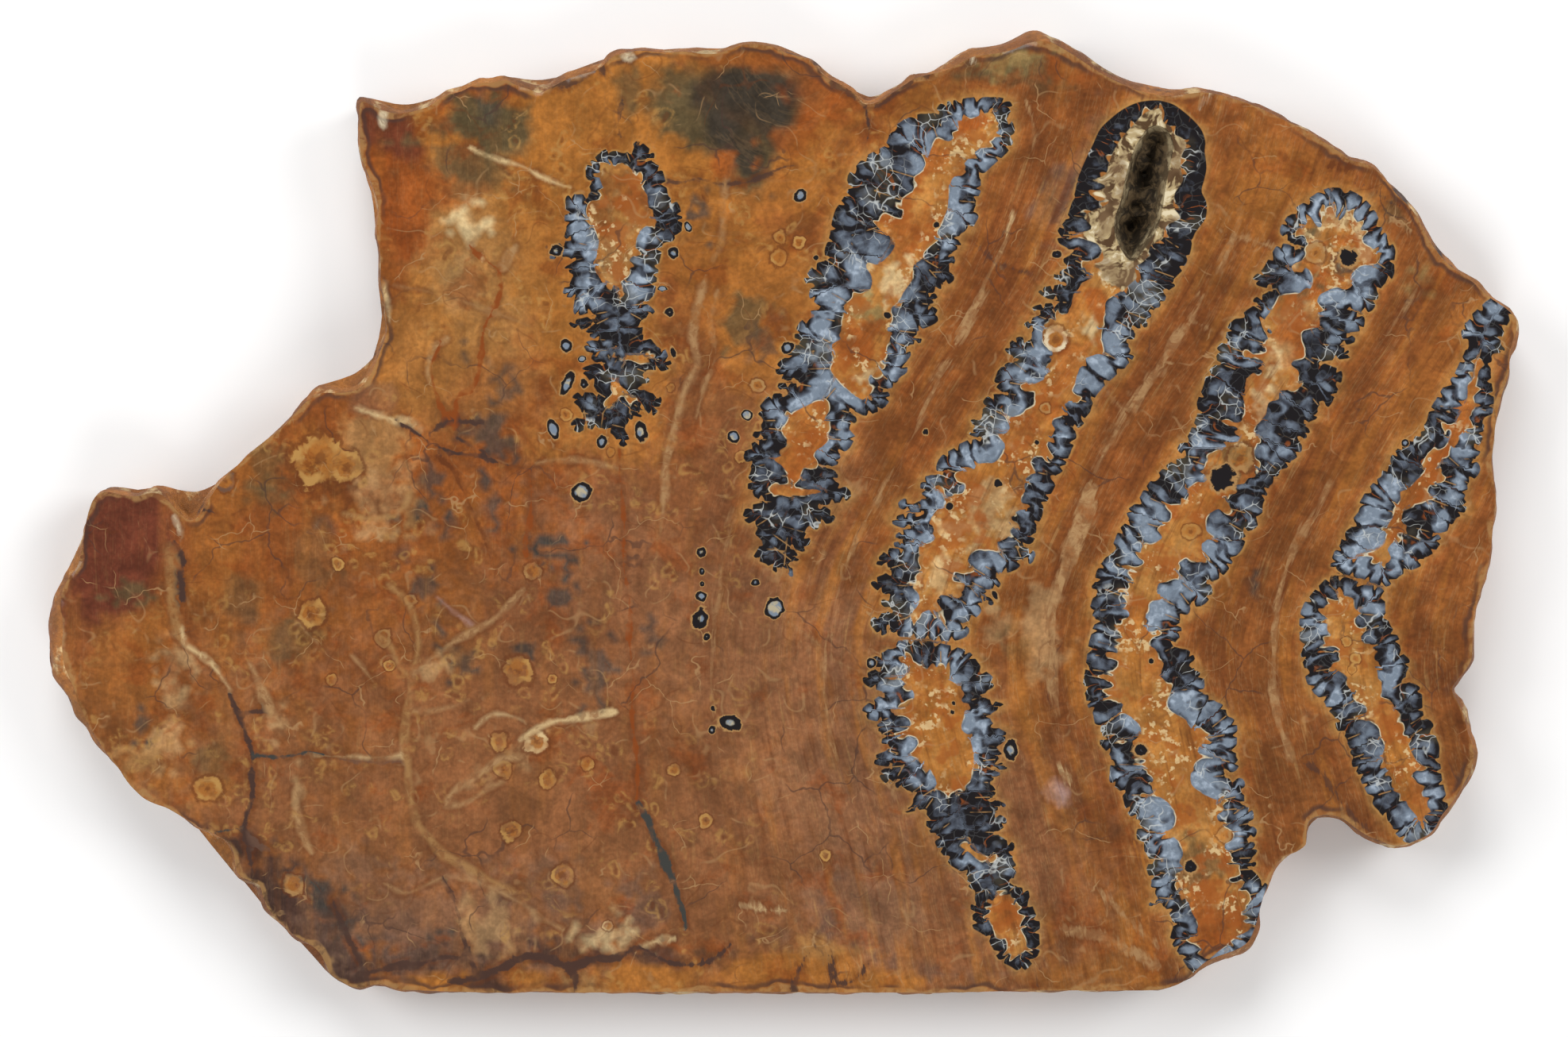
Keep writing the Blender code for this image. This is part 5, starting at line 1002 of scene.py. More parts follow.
def fold_seams(loop: np.ndarray, far_side: np.ndarray, sign: float) -> list[np.ndarray]:
    """Seams of the folded enamel, one from each sharp notch of a loop towards the enamel's other side.

    The turn at a point is the angle between the runs to it and from it, over a window each way.

    Args:
        loop: the loop's points, counter-clockwise.
        far_side: points of the enamel's other side.
        sign: -1 for the enamel's outer loop, whose notches turn clockwise, and 1 for its core.

    Returns:
        One short open curve for each notch.
    """
    window = 3
    before = loop - np.roll(loop, window, 0)
    after = np.roll(loop, -window, 0) - loop
    turn = np.arctan2(before[:, 0] * after[:, 1] - before[:, 1] * after[:, 0], (before * after).sum(1)) * sign
    peak = turn > NOTCH_TURN
    for shift in range(1, 5):
        peak &= (turn >= np.roll(turn, shift)) & (turn > np.roll(turn, -shift))
    seams = []
    for k in np.flatnonzero(peak):
        out = before[k] / np.linalg.norm(before[k]) - after[k] / np.linalg.norm(after[k])
        out = out / max(np.linalg.norm(out), 1e-6)
        gap = float(np.linalg.norm(far_side - loop[k], axis=1).min())
        length = min(gap * SEAM_SHARE, SEAM_LONGEST)
        count = max(int(length / 0.22), 2)
        seams.append(loop[k] + out * np.linspace(0.0, length, count)[:, None])
    return seams


@dataclass
class Fields:
    """What every point of the polished face measures, as the face's material reads it."""

    plate: np.ndarray
    core: np.ndarray
    along: np.ndarray
    seam: np.ndarray
    dark: np.ndarray
    stroke: np.ndarray
    stroke_tint: np.ndarray
    islet: np.ndarray
    eye: np.ndarray
    eye_tint: np.ndarray
    pocket: np.ndarray
    across: np.ndarray
    rim: np.ndarray
    ground: np.ndarray

    @classmethod
    def measure(cls, points: np.ndarray, drawing: Drawing, rim: np.ndarray) -> "Fields":
        """Measures the points.

        Args:
            points: the face's points, in millimetres, one row of x and y each.
            drawing: the curves on it.
            rim: the face's outline.

        Returns:
            The measured fields.
        """
        plate, along = nearest_loops(points, drawing.outers, PLATE_REACH)
        core, _ = nearest_loops(points, drawing.cores, CORE_REACH)
        seam = stroke_distance(points, drawing.seams, SEAM_REACH)[0]
        away, which, along_stroke = stroke_distance(points, drawing.strokes, STROKE_REACH)
        every = CRACKS + VEINS
        widths = np.array([stroke.width for stroke in every] + [0.0])
        taper = 0.3 + 0.7 * np.sqrt(4.0 * along_stroke * (1.0 - along_stroke))
        tints = np.array([(*stroke.tint.value, stroke.strength) for stroke in every] + [(0.0, 0.0, 0.0, 0.0)])
        islet, eye, eye_tint = round_cells(points)
        pocket = depth_in_loop(points, smooth_curve(POCKET, CURVE_STEP), POCKET_REACH)
        dark = enamel_darkness(points)
        ground = ground_colour(points, plate, core)
        stroke = away - widths[which] / 2 * taper
        return cls(plate, core, along, seam, dark, stroke, tints[which], islet, eye, eye_tint, pocket,
                   across_plates(points), depth_in_loop(points, rim, 1.0), ground)


def nearest_loops(points: np.ndarray, loops: list[np.ndarray], reach: float) -> tuple[np.ndarray, np.ndarray]:
    """Depth of each point in the loop that it is deepest in, and how far along that loop it lies."""
    depth = np.full(len(points), -reach, np.float32)
    along = np.zeros(len(points), np.float32)
    for number, loop in enumerate(loops):
        rows = np.flatnonzero(np.all((points > loop.min(0) - reach) & (points < loop.max(0) + reach), axis=1))
        found = nearest_segment(points[rows], loop, np.roll(loop, -1, 0))
        signed = np.where(found.crossings % 2 == 1, found.away, -found.away)
        better = signed > depth[rows]
        depth[rows[better]] = signed[better]
        along[rows[better]] = (found.segment + found.share)[better] * CURVE_STEP + LOOP_APART * number
    return depth, along


def stroke_distance(points: np.ndarray, lines: list[np.ndarray], reach: float
                    ) -> tuple[np.ndarray, np.ndarray, np.ndarray]:
    """Distance to the nearest open line, its index and the share of it passed.

    Args:
        points: rows of x and y.
        lines: the lines' points.
        reach: how far to look.

    Returns:
        One of each for every point; reach, -1 and 0 where no line is near.
    """
    away = np.full(len(points), reach, np.float32)
    which = np.full(len(points), -1)
    passed = np.zeros(len(points))
    for number, line in enumerate(lines):
        rows = np.flatnonzero(np.all((points > line.min(0) - reach) & (points < line.max(0) + reach), axis=1))
        if len(rows):
            found = nearest_segment(points[rows], line[:-1], line[1:])
            better = found.away < away[rows]
            away[rows[better]] = found.away[better]
            which[rows[better]] = number
            passed[rows[better]] = (found.segment + found.share)[better] / (len(line) - 1)
    return away, which, np.clip(passed, 0.0, 1.0)


def across_plates(points: np.ndarray) -> np.ndarray:
    """How far east each point lies of a line that leans and bends as the plates do, less so in the west."""
    line = smooth_curve(LEAN, 0.5, closed=False)
    bend = np.interp(points[:, 1], line[:, 1], line[:, 0]) - LEAN[3][0]
    return points[:, 0] - bend * smoothstep(-16.0, 8.0, points[:, 0])


def turned(points: np.ndarray, x: float, y: float, turn_deg: float) -> np.ndarray:
    """The points as seen from a middle, with its axes turned counter-clockwise."""
    turn = np.radians(turn_deg)
    off = points - (x, y)
    return np.column_stack([off @ (np.cos(turn), np.sin(turn)), off @ (-np.sin(turn), np.cos(turn))])


def round_cells(points: np.ndarray) -> tuple[np.ndarray, np.ndarray, np.ndarray]:
    """Islets and round fossil cells.

    An islet's value is 0 at its edge and 1 where its heart begins. A cell's is the distance to its middle
    over its radius, held to 2 and made uneven by a little noise.
    """
    islet = np.full(len(points), -1.0)
    for cell in ISLETS + [Islet(x, y, r, r, 0.0, 0.0) for x, y, r in SPOTS]:
        near = np.flatnonzero(np.linalg.norm(points - (cell.x, cell.y), axis=1) < 2.5)
        local = turned(points[near], cell.x, cell.y, cell.turn_deg) / (cell.half_width, cell.half_height)
        radius = np.linalg.norm(local, axis=1) * (1.0 + 0.16 * soft_noise(points[near], 0.35, 5))
        islet[near] = np.maximum(islet[near], (1.0 - radius) / (1.0 - min(cell.heart, 0.9)))
    eye = np.full(len(points), 2.0)
    tint = np.zeros((len(points), 4))
    for cell in EYES:
        radius = np.linalg.norm(points - (cell.x, cell.y), axis=1) / cell.radius
        radius = radius * (1.0 + 0.18 * soft_noise(points, 0.8 * cell.radius, 7))
        nearer = radius < eye
        eye[nearer] = radius[nearer]
        tint[nearer] = (*cell.tint.value, 1.0)
    return np.maximum(islet, -1.0), eye, tint


def enamel_darkness(points: np.ndarray) -> np.ndarray:
    """How dark each point's enamel is, 0 for pale blue-grey to 1 for black.

    Smooth noise about as wide as two lobes, made steeper so that most lobes are either dark or pale.
    In a stretch it moves nine tenths of the way to that stretch's tone, and less towards the radius.

    Args:
        points: where to read it, one x and y each.

    Returns:
        One value for each point.
    """
    tone = 0.22 + 0.62 * smoothstep(-0.38, 0.38, soft_noise(points, LOBE_PATCH, 31))
    for stretches, own_tone in ((PALE_STRETCHES, PALE_TONE), (BLACK_STRETCHES, BLACK_TONE)):
        for x, y, radius in stretches:
            away = np.hypot(points[:, 0] - x, points[:, 1] - y) / radius
            tone += (own_tone - tone) * 0.9 * smoothstep(1.1, 0.6, away)
    return tone


def ground_colour(points: np.ndarray, plate: np.ndarray, core: np.ndarray) -> np.ndarray:
    """Colour of the stone between the enamel plates and in their cores.

    It starts from dentine brown, gets an amber glow in the cores, darker growth bands a few millimetres
    off the enamel and a thin orange halo beside it, and then every stain over that. A stain's share is
    its strength times 1 - smoothstep of the ellipse's radius, made ragged by noise.

    Args:
        points: the face's points.
        plate: depth in the enamel's outer loops.
        core: depth in its cores.

    Returns:
        Rows of red, green, blue and 1.
    """
    def mix(colour: np.ndarray, tint: Tint, share: np.ndarray) -> np.ndarray:
        """The colours moved towards a tint by a share."""
        return colour + (np.array(tint.value) - colour) * np.clip(share, 0.0, 1.0)[:, None]

    broad = soft_noise(points, 7.0, 11) + 0.5 * soft_noise(points, 3.1, 12)
    away = -plate + 0.35 * soft_noise(points, 1.6, 13)
    colour = np.tile(np.array(Tint.DENTINE.value), (len(points), 1))
    west = smoothstep(-6.0, -26.0, points[:, 0])
    south = smoothstep(6.0, -24.0, points[:, 1])
    colour = mix(colour, Tint.BROWN, 0.7 * south)
    colour = mix(colour, Tint.RUST, 0.35 * west * (1.0 - south))
    colour = mix(colour, Tint.OCHRE, 0.30 * smoothstep(0.0, 1.2, broad))
    colour = mix(colour, Tint.DARK_DENTINE, 0.30 * smoothstep(0.0, 1.2, -broad))
    band = smoothstep(0.5, 1.6, away) * smoothstep(3.9, 2.6, away)
    colour = mix(colour, Tint.DARK_DENTINE, 0.42 * band)
    colour = mix(colour, Tint.HONEY, 0.45 * smoothstep(0.7, 0.1, away) * (plate < 0.3))
    for stain in STAINS:
        colour = mix(colour, stain.tint, stain.share(points))
    inside = smoothstep(-0.3, 0.3, core)
    amber = np.tile(np.array(Tint.CORE.value), (len(points), 1))
    amber = mix(amber, Tint.HONEY, 0.3 + 0.4 * soft_noise(points, 2.2, 31))
    amber = mix(amber, Tint.RED_EARTH, 0.7 * smoothstep(0.1, 0.8, soft_noise(points, 2.6, 32)))
    amber = mix(amber, Tint.OCHRE, 0.7 * smoothstep(0.0, 0.8, soft_noise(points, 1.3, 33)))
    colour += (amber - colour) * inside[:, None]
    for stain in CORE_STAINS:
        colour = mix(colour, stain.tint, stain.share(points) * inside)
    return np.column_stack([colour, np.ones(len(points))])


# The skin: one closed surface of face, wall and back


def triangulate(rim: np.ndarray, points: np.ndarray, edges: Edges) -> tuple[np.ndarray, np.ndarray]:
    """Triangles over points that keep the given edges, inside the rim.

    Args:
        rim: the closed outline, rows of x and y.
        points: points inside it.
        edges: pairs of indices into the rim and the points after it.

    Returns:
        The points, with any that crossing edges add, and the triangles, counter-clockwise.
    """
    every = np.vstack([rim, points])
    lines = loop_edges(0, len(rim), True) + edges
    out = delaunay_2d_cdt([tuple(p) for p in every.tolist()], lines, [], 0, 1e-6, False)
    flat, triangles = np.array([tuple(p) for p in out[0]]), np.array(out[2], np.int32)
    on_rim = depth_in_loop(flat, rim, 0.5)
    edge = np.abs(on_rim) < 1e-4
    doubtful = np.flatnonzero(edge[triangles].all(axis=1))
    middles = flat[triangles[doubtful]].mean(axis=1)
    outside = doubtful[depth_in_loop(middles, rim, 0.5) < 0.0]
    return flat, np.delete(triangles, outside, axis=0)


def loop_edges(first: int, count: int, closed: bool) -> Edges:
    """Edges between consecutive points, and back to the first one where the line is closed."""
    last = count if closed else count - 1
    return [(first + k, first + (k + 1) % count) for k in range(last)]


def scattered(rim: np.ndarray, drawing: Drawing) -> np.ndarray:
    """Points inside the rim, closest together in the enamel and widest apart in the plain stone.

    Args:
        rim: the face's outline.
        drawing: the curves on the face.

    Returns:
        The points, one row each.
    """
    low, high = rim.min(0), rim.max(0)
    xs, ys = np.arange(low[0] - 1, high[0] + 2, LATTICE), np.arange(low[1] - 1, high[1] + 2, LATTICE)
    lattice = np.column_stack([k.ravel() for k in np.meshgrid(xs, ys)])
    plate = nearest_loops(lattice, drawing.outers, PLATE_REACH)[0]
    core = nearest_loops(lattice, drawing.cores, CORE_REACH)[0]
    inside = depth_in_loop(lattice, rim[::2], 3.0)
    islet, eye, _ = round_cells(lattice)
    maps = [k.reshape(len(ys), len(xs)) for k in (plate, core, inside, islet, eye)]

    def read(values: np.ndarray, points: np.ndarray) -> np.ndarray:
        """A map's value at points, by its four nearest lattice points."""
        at = (points - (xs[0], ys[0])) / LATTICE
        cell = np.clip(np.floor(at).astype(int), 0, (len(xs) - 2, len(ys) - 2))
        u, v = (at - cell).T
        x, y = cell.T
        return ((values[y, x] * (1 - u) + values[y, x + 1] * u) * (1 - v)
                + (values[y + 1, x] * (1 - u) + values[y + 1, x + 1] * u) * v)

    kept = []
    for number, step in enumerate((FINE, MIDDLE, COARSE)):
        points = hex_grid(low, high, step, number)
        plate_at, core_at, inside_at, islet_at, eye_at = (read(k, points) for k in maps)
        fine = ((plate_at > -0.15) & (core_at < 0.35)) | (islet_at > -0.9)
        middle = (plate_at > -1.0) | (core_at > 0.0) | (eye_at < 1.6)
        chosen = (fine, middle & ~fine, ~middle & ~fine)[number]
        kept.append(points[chosen & (inside_at > 0.22)])
    return np.vstack(kept)


@dataclass
class Patch:
    """Part of the skin: its points in millimetres, its triangles and the material slot they take."""

    points: np.ndarray
    triangles: np.ndarray
    slot: int


def face_patch(rim: np.ndarray, drawing: Drawing) -> Patch:
    """The polished face, flat but for the hollow in the third plate's tip.

    Args:
        rim: the wall's topmost ring.
        drawing: the curves that the triangles follow.

    Returns:
        The face's patch.
    """
    blocks, edges = [rim[:, :2]], []
    count = len(rim)
    for line, closed in drawing.lines():
        inner = depth_in_loop(line, rim[::2, :2], 3.0) > 0.12
        if closed or inner.all():
            edges += loop_edges(count, len(line), closed) if inner.all() else [
                edge for edge in loop_edges(count, len(line), closed)
                if inner[edge[0] - count] and inner[edge[1] - count]]
        blocks.append(line)
        count += len(line)
    kept = np.concatenate([[True] * len(rim), depth_in_loop(np.vstack(blocks[1:]), rim[::2, :2], 3.0) > 0.12])
    number = np.cumsum(kept) - 1
    edges = [(int(number[a]), int(number[b])) for a, b in edges if kept[a] and kept[b]]
    inner = np.vstack(blocks)[kept][len(rim):]
    flat, triangles = triangulate(rim[:, :2], np.vstack([inner, scattered(rim[:, :2], drawing)]), edges)
    depth = depth_in_loop(flat, smooth_curve(POCKET, CURVE_STEP), POCKET_REACH)
    knobs = 0.34 * soft_noise(flat, 0.9, 41) + 0.22 * np.abs(soft_noise(flat, 0.45, 42))
    bowl = POCKET_DEPTH * np.sqrt(np.clip(depth / POCKET_WALL, 0.0, 1.0))
    bowl = bowl * (1.0 + knobs * smoothstep(0.2, 0.9, depth))
    z = rim[0, 2] - np.where(depth > 0.0, np.minimum(bowl, POCKET_DEPTH * 1.25), 0.0)
    return Patch(np.column_stack([flat, z]), triangles, 0)


def wall_patch(rings: np.ndarray) -> Patch:
    """The natural rim: rings round the slab, from the back up to the face, with small lumps.

    A ring's height share h lies between two CAD rings and is their mean weighed by its place between
    them. Lumps push out along x and y by noise, and fade to nothing at both faces.

    Args:
        rings: the CAD slab's rings, levels by points by 3.

    Returns:
        The wall's patch.
    """
    around = [smooth_ring_finer(ring) for ring in rings]
    heights = np.array([ring[0, 2] for ring in around]) / around[-1][0, 2]
    count = len(around[0])
    levels = []
    for share in WALL_HEIGHTS:
        upper = int(np.clip(np.searchsorted(heights, share), 1, len(heights) - 1))
        blend = (share - heights[upper - 1]) / (heights[upper] - heights[upper - 1])
        ring = around[upper - 1] + (around[upper] - around[upper - 1]) * np.clip(blend, 0.0, 1.0)
        run = np.roll(ring, -1, 0) - np.roll(ring, 1, 0)
        outward = np.column_stack([run[:, 1], -run[:, 0], np.zeros(count)])
        outward /= np.maximum(np.linalg.norm(outward, axis=1), 1e-6)[:, None]
        lumps = 0.20 * soft_noise(ring, 1.7, 51) + 0.10 * soft_noise(ring, 0.7, 52)
        levels.append(ring + outward * (lumps * min(1.0, 9.0 * share * (1.0 - share)))[:, None])
    index = np.arange(count)
    following = (index + 1) % count
    triangles = []
    for level in range(len(levels) - 1):
        low, high = level * count, (level + 1) * count
        triangles.append(np.column_stack([low + index, low + following, high + following]))
        triangles.append(np.column_stack([low + index, high + following, high + index]))
    return Patch(np.vstack(levels), np.vstack(triangles), 1)


def smooth_ring_finer(ring: np.ndarray) -> np.ndarray:
    """A closed ring with two more points between each pair, on the Catmull-Rom curve through it."""
    a, b, c, d = (np.roll(ring, -k, 0)[:, None, :] for k in (-1, 0, 1, 2))
    t = np.array([0.0, 1.0 / 3.0, 2.0 / 3.0])[None, :, None]
    curve = 0.5 * (2 * b + (c - a) * t + (2 * a - 5 * b + 4 * c - d) * t**2 + (3 * b - a - 3 * c + d) * t**3)
    return curve.reshape(-1, 3)


def back_patch(ring: np.ndarray) -> Patch:
    """The sawn back, flat inside the wall's lowest ring."""
    points = hex_grid(ring[:, :2].min(0), ring[:, :2].max(0), 2.4, 9)
    points = points[depth_in_loop(points, ring[::2, :2], 3.0) > 1.0]
    flat, triangles = triangulate(ring[:, :2], points, [])
    return Patch(np.column_stack([flat, np.full(len(flat), ring[0, 2])]), triangles[:, ::-1], 2)


@dataclass
class Slice:
    """The whole tooth slice: its skin and its three finishes."""

    drawing: Drawing = field(default_factory=Drawing.read)

    def build(self) -> bpy.types.Object:
        """Makes the closed skin.

        Returns:
            The object, with its fields stored on its points.
        """
        rings = cad_rings(CAD_LEVELS)
        wall = wall_patch(rings)
        count = len(wall.points) // len(WALL_HEIGHTS)
        patches = [face_patch(wall.points[-count:], self.drawing), wall, back_patch(wall.points[:count])]
        mesh = joined(patches)
        flat = np.zeros(len(mesh.vertices) * 3)
        mesh.vertices.foreach_get("co", flat)
        rim = wall.points[-count::3, :2]
        self.store(mesh, Fields.measure(flat.reshape(-1, 3)[:, :2] / MM, self.drawing, rim))
        piece = bpy.data.objects.new("tooth_slice_skin", mesh)
        bpy.context.scene.collection.objects.link(piece)
        LOG.info("skin: %d points, %d triangles", len(mesh.vertices), len(mesh.polygons))
        return piece

    def store(self, mesh: bpy.types.Mesh, fields: Fields) -> None:
        """Keeps every field as an attribute of the mesh's points."""
        for name, values in vars(fields).items():
            wide = values.ndim == 2
            stored = mesh.attributes.new(name, "FLOAT_COLOR" if wide else "FLOAT", "POINT")
            stored.data.foreach_set("color" if wide else "value", values.astype(np.float32).ravel())

    def dress(self, piece: bpy.types.Object) -> None:
        """Gives the face, the rim and the back their finishes."""
        for finish in (PolishedStone(), NaturalCrust(), SawnBack()):
            piece.data.materials.append(finish.material())


def joined(patches: list[Patch]) -> bpy.types.Mesh:
    """One mesh of several patches, with the points that they share welded."""
    mesh = bpy.data.meshes.new("tooth_slice_skin")
    starts = np.cumsum([0] + [len(patch.points) for patch in patches[:-1]])
    points = np.vstack([patch.points for patch in patches]) * MM
    triangles = np.vstack([patch.triangles + start for patch, start in zip(patches, starts)])
    slots = np.concatenate([np.full(len(patch.triangles), patch.slot) for patch in patches])
    mesh.from_pydata(points.tolist(), [], triangles.tolist())
    mesh.polygons.foreach_set("material_index", slots.astype(np.int32))
    work = bmesh.new()
    work.from_mesh(mesh)
    bmesh.ops.remove_doubles(work, verts=work.verts, dist=1e-6)
    bmesh.ops.recalc_face_normals(work, faces=work.faces)
    work.to_mesh(mesh)
    work.free()
    mesh.polygons.foreach_set("use_smooth", np.ones(len(mesh.polygons), bool))
    mesh.set_sharp_from_angle(angle=np.radians(50.0))
    mesh.update()
    return mesh


# Finishes


class Nodes:
    """Adds nodes to a tree and links them, so that a recipe reads as one line for each step."""

    def __init__(self, tree: bpy.types.NodeTree) -> None:
        """Starts on an empty tree."""
        self.tree = tree
        tree.nodes.clear()

    def add(self, kind: str, inputs: dict | None = None, **settings: object) -> bpy.types.Node:
        """Adds a node.

        Args:
            kind: its type's name, without "ShaderNode".
            inputs: values or sockets for its inputs, by name or number.
            **settings: its own properties.

        Returns:
            The node.
        """
        node = self.tree.nodes.new(kind if kind.startswith("Node") else "ShaderNode" + kind)
        for key, value in settings.items():
            setattr(node, key, value)
        for key, value in (inputs or {}).items():
            if isinstance(value, Socket):
                self.tree.links.new(value, node.inputs[key])
            else:
                node.inputs[key].default_value = value
        return node

    def value(self, name: str) -> Socket:
        """A field of the mesh's points."""
        return self.add("Attribute", attribute_name=name).outputs["Fac"]

    def colour(self, name: str) -> bpy.types.Node:
        """A colour field of the mesh's points."""
        return self.add("Attribute", attribute_name=name)

    def math(self, operation: str, *values: object) -> Socket:
        """A sum, product or other operation."""
        return self.add("Math", dict(enumerate(values)), operation=operation).outputs[0]

    def times(self, first: object, second: object) -> Socket:
        """The product of two values."""
        return self.math("MULTIPLY", first, second)

    def plus(self, first: object, second: object) -> Socket:
        """The sum of two values."""
        return self.math("ADD", first, second)

    def sway(self, noise: object, width: float) -> Socket:
        """A noise turned into a push of up to half the width either way."""
        return self.times(self.math("SUBTRACT", noise, 0.5), width)

    def ramp(self, value: object, low: float, high: float, start: float = 0.0, end: float = 1.0) -> Socket:
        """start below low, end above high and smooth between them."""
        inputs = {"Value": value, "From Min": low, "From Max": high, "To Min": start, "To Max": end}
        return self.add("MapRange", inputs, interpolation_type="SMOOTHSTEP").outputs["Result"]

    def blend(self, share: object, low: object, high: object) -> Socket:
        """Two values blended."""
        return self.add("Mix", {0: share, 2: low, 3: high}).outputs[0]

    def mix(self, share: object, low: object, high: object) -> Socket:
        """Two colours blended."""
        node = self.add("Mix", {0: share}, data_type="RGBA")
        for socket, value in ((node.inputs[6], low), (node.inputs[7], high)):
            if isinstance(value, Socket):
                self.tree.links.new(value, socket)
            else:
                socket.default_value = (*value, 1.0)
        return node.outputs[2]

    def noise(self, vector: object, scale: float, detail: float = 3.0, roughness: float = 0.55,
              warp: float = 0.0) -> Socket:
        """Noise from about 0 to 1, at scale cells to the metre."""
        inputs = {"Vector": vector, "Scale": scale, "Detail": detail, "Roughness": roughness}
        return self.add("TexNoise", inputs | {"Distortion": warp}).outputs["Fac"]

    def cell_edge(self, vector: object, scale: float) -> Socket:
        """Distance to the border of a crooked cell, at scale cells to the metre."""
        inputs = {"Vector": vector, "Scale": scale}
        return self.add("TexVoronoi", inputs, feature="DISTANCE_TO_EDGE").outputs["Distance"]

    def green(self, colour: Socket) -> Socket:
        """A colour's green, which tells a light stone from a dark one."""
        return self.add("SeparateColor", {0: colour}).outputs["Green"]

    def grained(self, colour: Socket, strength: float) -> Socket:
        """A colour with the stone's grain."""
        inputs = {"Colour": colour, "Strength": strength}
        return self.add("Group", inputs, node_tree=stone_grain()).outputs["Colour"]

    def finish(self, **inputs: object) -> None:
        """Adds the shader, each input by its name with _ for a space, and the material's output."""
        shader = self.add("BsdfPrincipled", {name.replace("_", " "): value for name, value in inputs.items()})
        self.add("OutputMaterial", {"Surface": shader.outputs[0]})


def new_finish(name: str) -> tuple[bpy.types.Material, Nodes]:
    """An empty material and the adder of its nodes."""
    material = bpy.data.materials.new(name)
    material.use_nodes = True
    return material, Nodes(material.node_tree)


def stone_grain() -> bpy.types.NodeTree:
    """Group that gives stone its grain.

    Returns:
        A group with a Colour and its Strength in, and a Colour out: the colour made lighter and darker by
        patches of a few millimetres, clouds of a millimetre or two and specks.
    """
    if "stone grain" in bpy.data.node_groups:
        return bpy.data.node_groups["stone grain"]
    tree = bpy.data.node_groups.new("stone grain", "ShaderNodeTree")
    tree.interface.new_socket("Colour", in_out="INPUT", socket_type="NodeSocketColor")
    tree.interface.new_socket("Strength", in_out="INPUT", socket_type="NodeSocketFloat")
    tree.interface.new_socket("Colour", in_out="OUTPUT", socket_type="NodeSocketColor")
    n = Nodes(tree)
    given = n.add("NodeGroupInput")
    at = n.add("TexCoord").outputs["Object"]
    clouds = n.noise(at, 520.0, 4.0, 0.62, 0.6)
    patches = n.noise(at, 150.0, 3.0, 0.6, 0.8)
    specks = n.noise(at, 2600.0, 1.0, 0.7)
    lift = n.ramp(clouds, 0.32, 0.70, 0.72, 1.22)
    broad = n.ramp(patches, 0.33, 0.68, 0.80, 1.14)
    fine = n.ramp(specks, 0.30, 0.72, 0.86, 1.14)
    gain = n.times(n.times(lift, broad), fine)
    gain = n.plus(1.0, n.times(n.math("SUBTRACT", gain, 1.0), given.outputs["Strength"]))
    scaled = n.add("VectorMath", {0: given.outputs["Colour"], "Scale": gain}, operation="SCALE").outputs[0]
    n.add("NodeGroupOutput", {"Colour": scaled})
    return tree


def enamel_folds() -> bpy.types.NodeTree:
    """Group that folds the enamel like a comb.

    Cells of about a millimetre are laid along the enamel's outer edge, and others along its inner one.
    Between two cells the edge has a notch, from which a dark seam runs in.

    Returns:
        A group with Along, Plate and Core in, and out: Outer and Inner, the depth from either edge with
        its notches, Lobe, 1 in the middle of a cell and 0 at its sides, and Seam, 1 on a seam's thread.
    """
    if "enamel folds" in bpy.data.node_groups:
        return bpy.data.node_groups["enamel folds"]
    tree = bpy.data.node_groups.new("enamel folds", "ShaderNodeTree")
    for name in ("Along", "Plate", "Core"):
        tree.interface.new_socket(name, in_out="INPUT", socket_type="NodeSocketFloat")
    for name in ("Outer", "Inner", "Lobe", "Seam"):
        tree.interface.new_socket(name, in_out="OUTPUT", socket_type="NodeSocketFloat")
    n = Nodes(tree)
    given = n.add("NodeGroupInput").outputs
    at = n.add("TexCoord").outputs["Object"]
    warp = n.sway(n.noise(at, 420.0, 1.0), 1.8)
    sides = []
    for scale, start in ((0.78, 0.0), (0.66, 37.0)):
        place = n.plus(n.plus(n.times(given["Along"], scale), start), warp)
        cell = n.add("TexVoronoi", {"W": place, "Scale": 1.0, "Randomness": 0.85}, feature="DISTANCE_TO_EDGE",
                     voronoi_dimensions="1D").outputs["Distance"]
        sides.append(cell)
    ragged = n.sway(n.noise(at, 1700.0, 1.0), 0.12)
    outer = n.plus(n.plus(given["Plate"], n.ramp(sides[0], 0.0, 0.24, -0.26, 0.10)), ragged)
    hollowed = n.plus(n.times(given["Core"], -1.0), ragged)
    inner = n.plus(hollowed, n.ramp(sides[1], 0.0, 0.30, -0.30, 0.16))
    width = n.math("MAXIMUM", n.math("SUBTRACT", given["Plate"], given["Core"]), 0.05)
    share = n.math("DIVIDE", given["Plate"], width)
    from_outer, from_inner = n.ramp(share, 0.80, 0.50), n.ramp(share, 0.38, 0.60)
    lobes, threads = [], []
    for cell, reach in zip(sides, (from_outer, from_inner)):
        lobes.append(n.math("SUBTRACT", 1.0, n.times(n.ramp(cell, 0.34, 0.02), reach)))
        threads.append(n.times(n.ramp(cell, 0.05, 0.015), reach))
    lobe, seam = n.math("MINIMUM", *lobes), n.math("MAXIMUM", *threads)
    n.add("NodeGroupOutput", {"Outer": outer, "Inner": inner, "Lobe": lobe, "Seam": seam})
    return tree


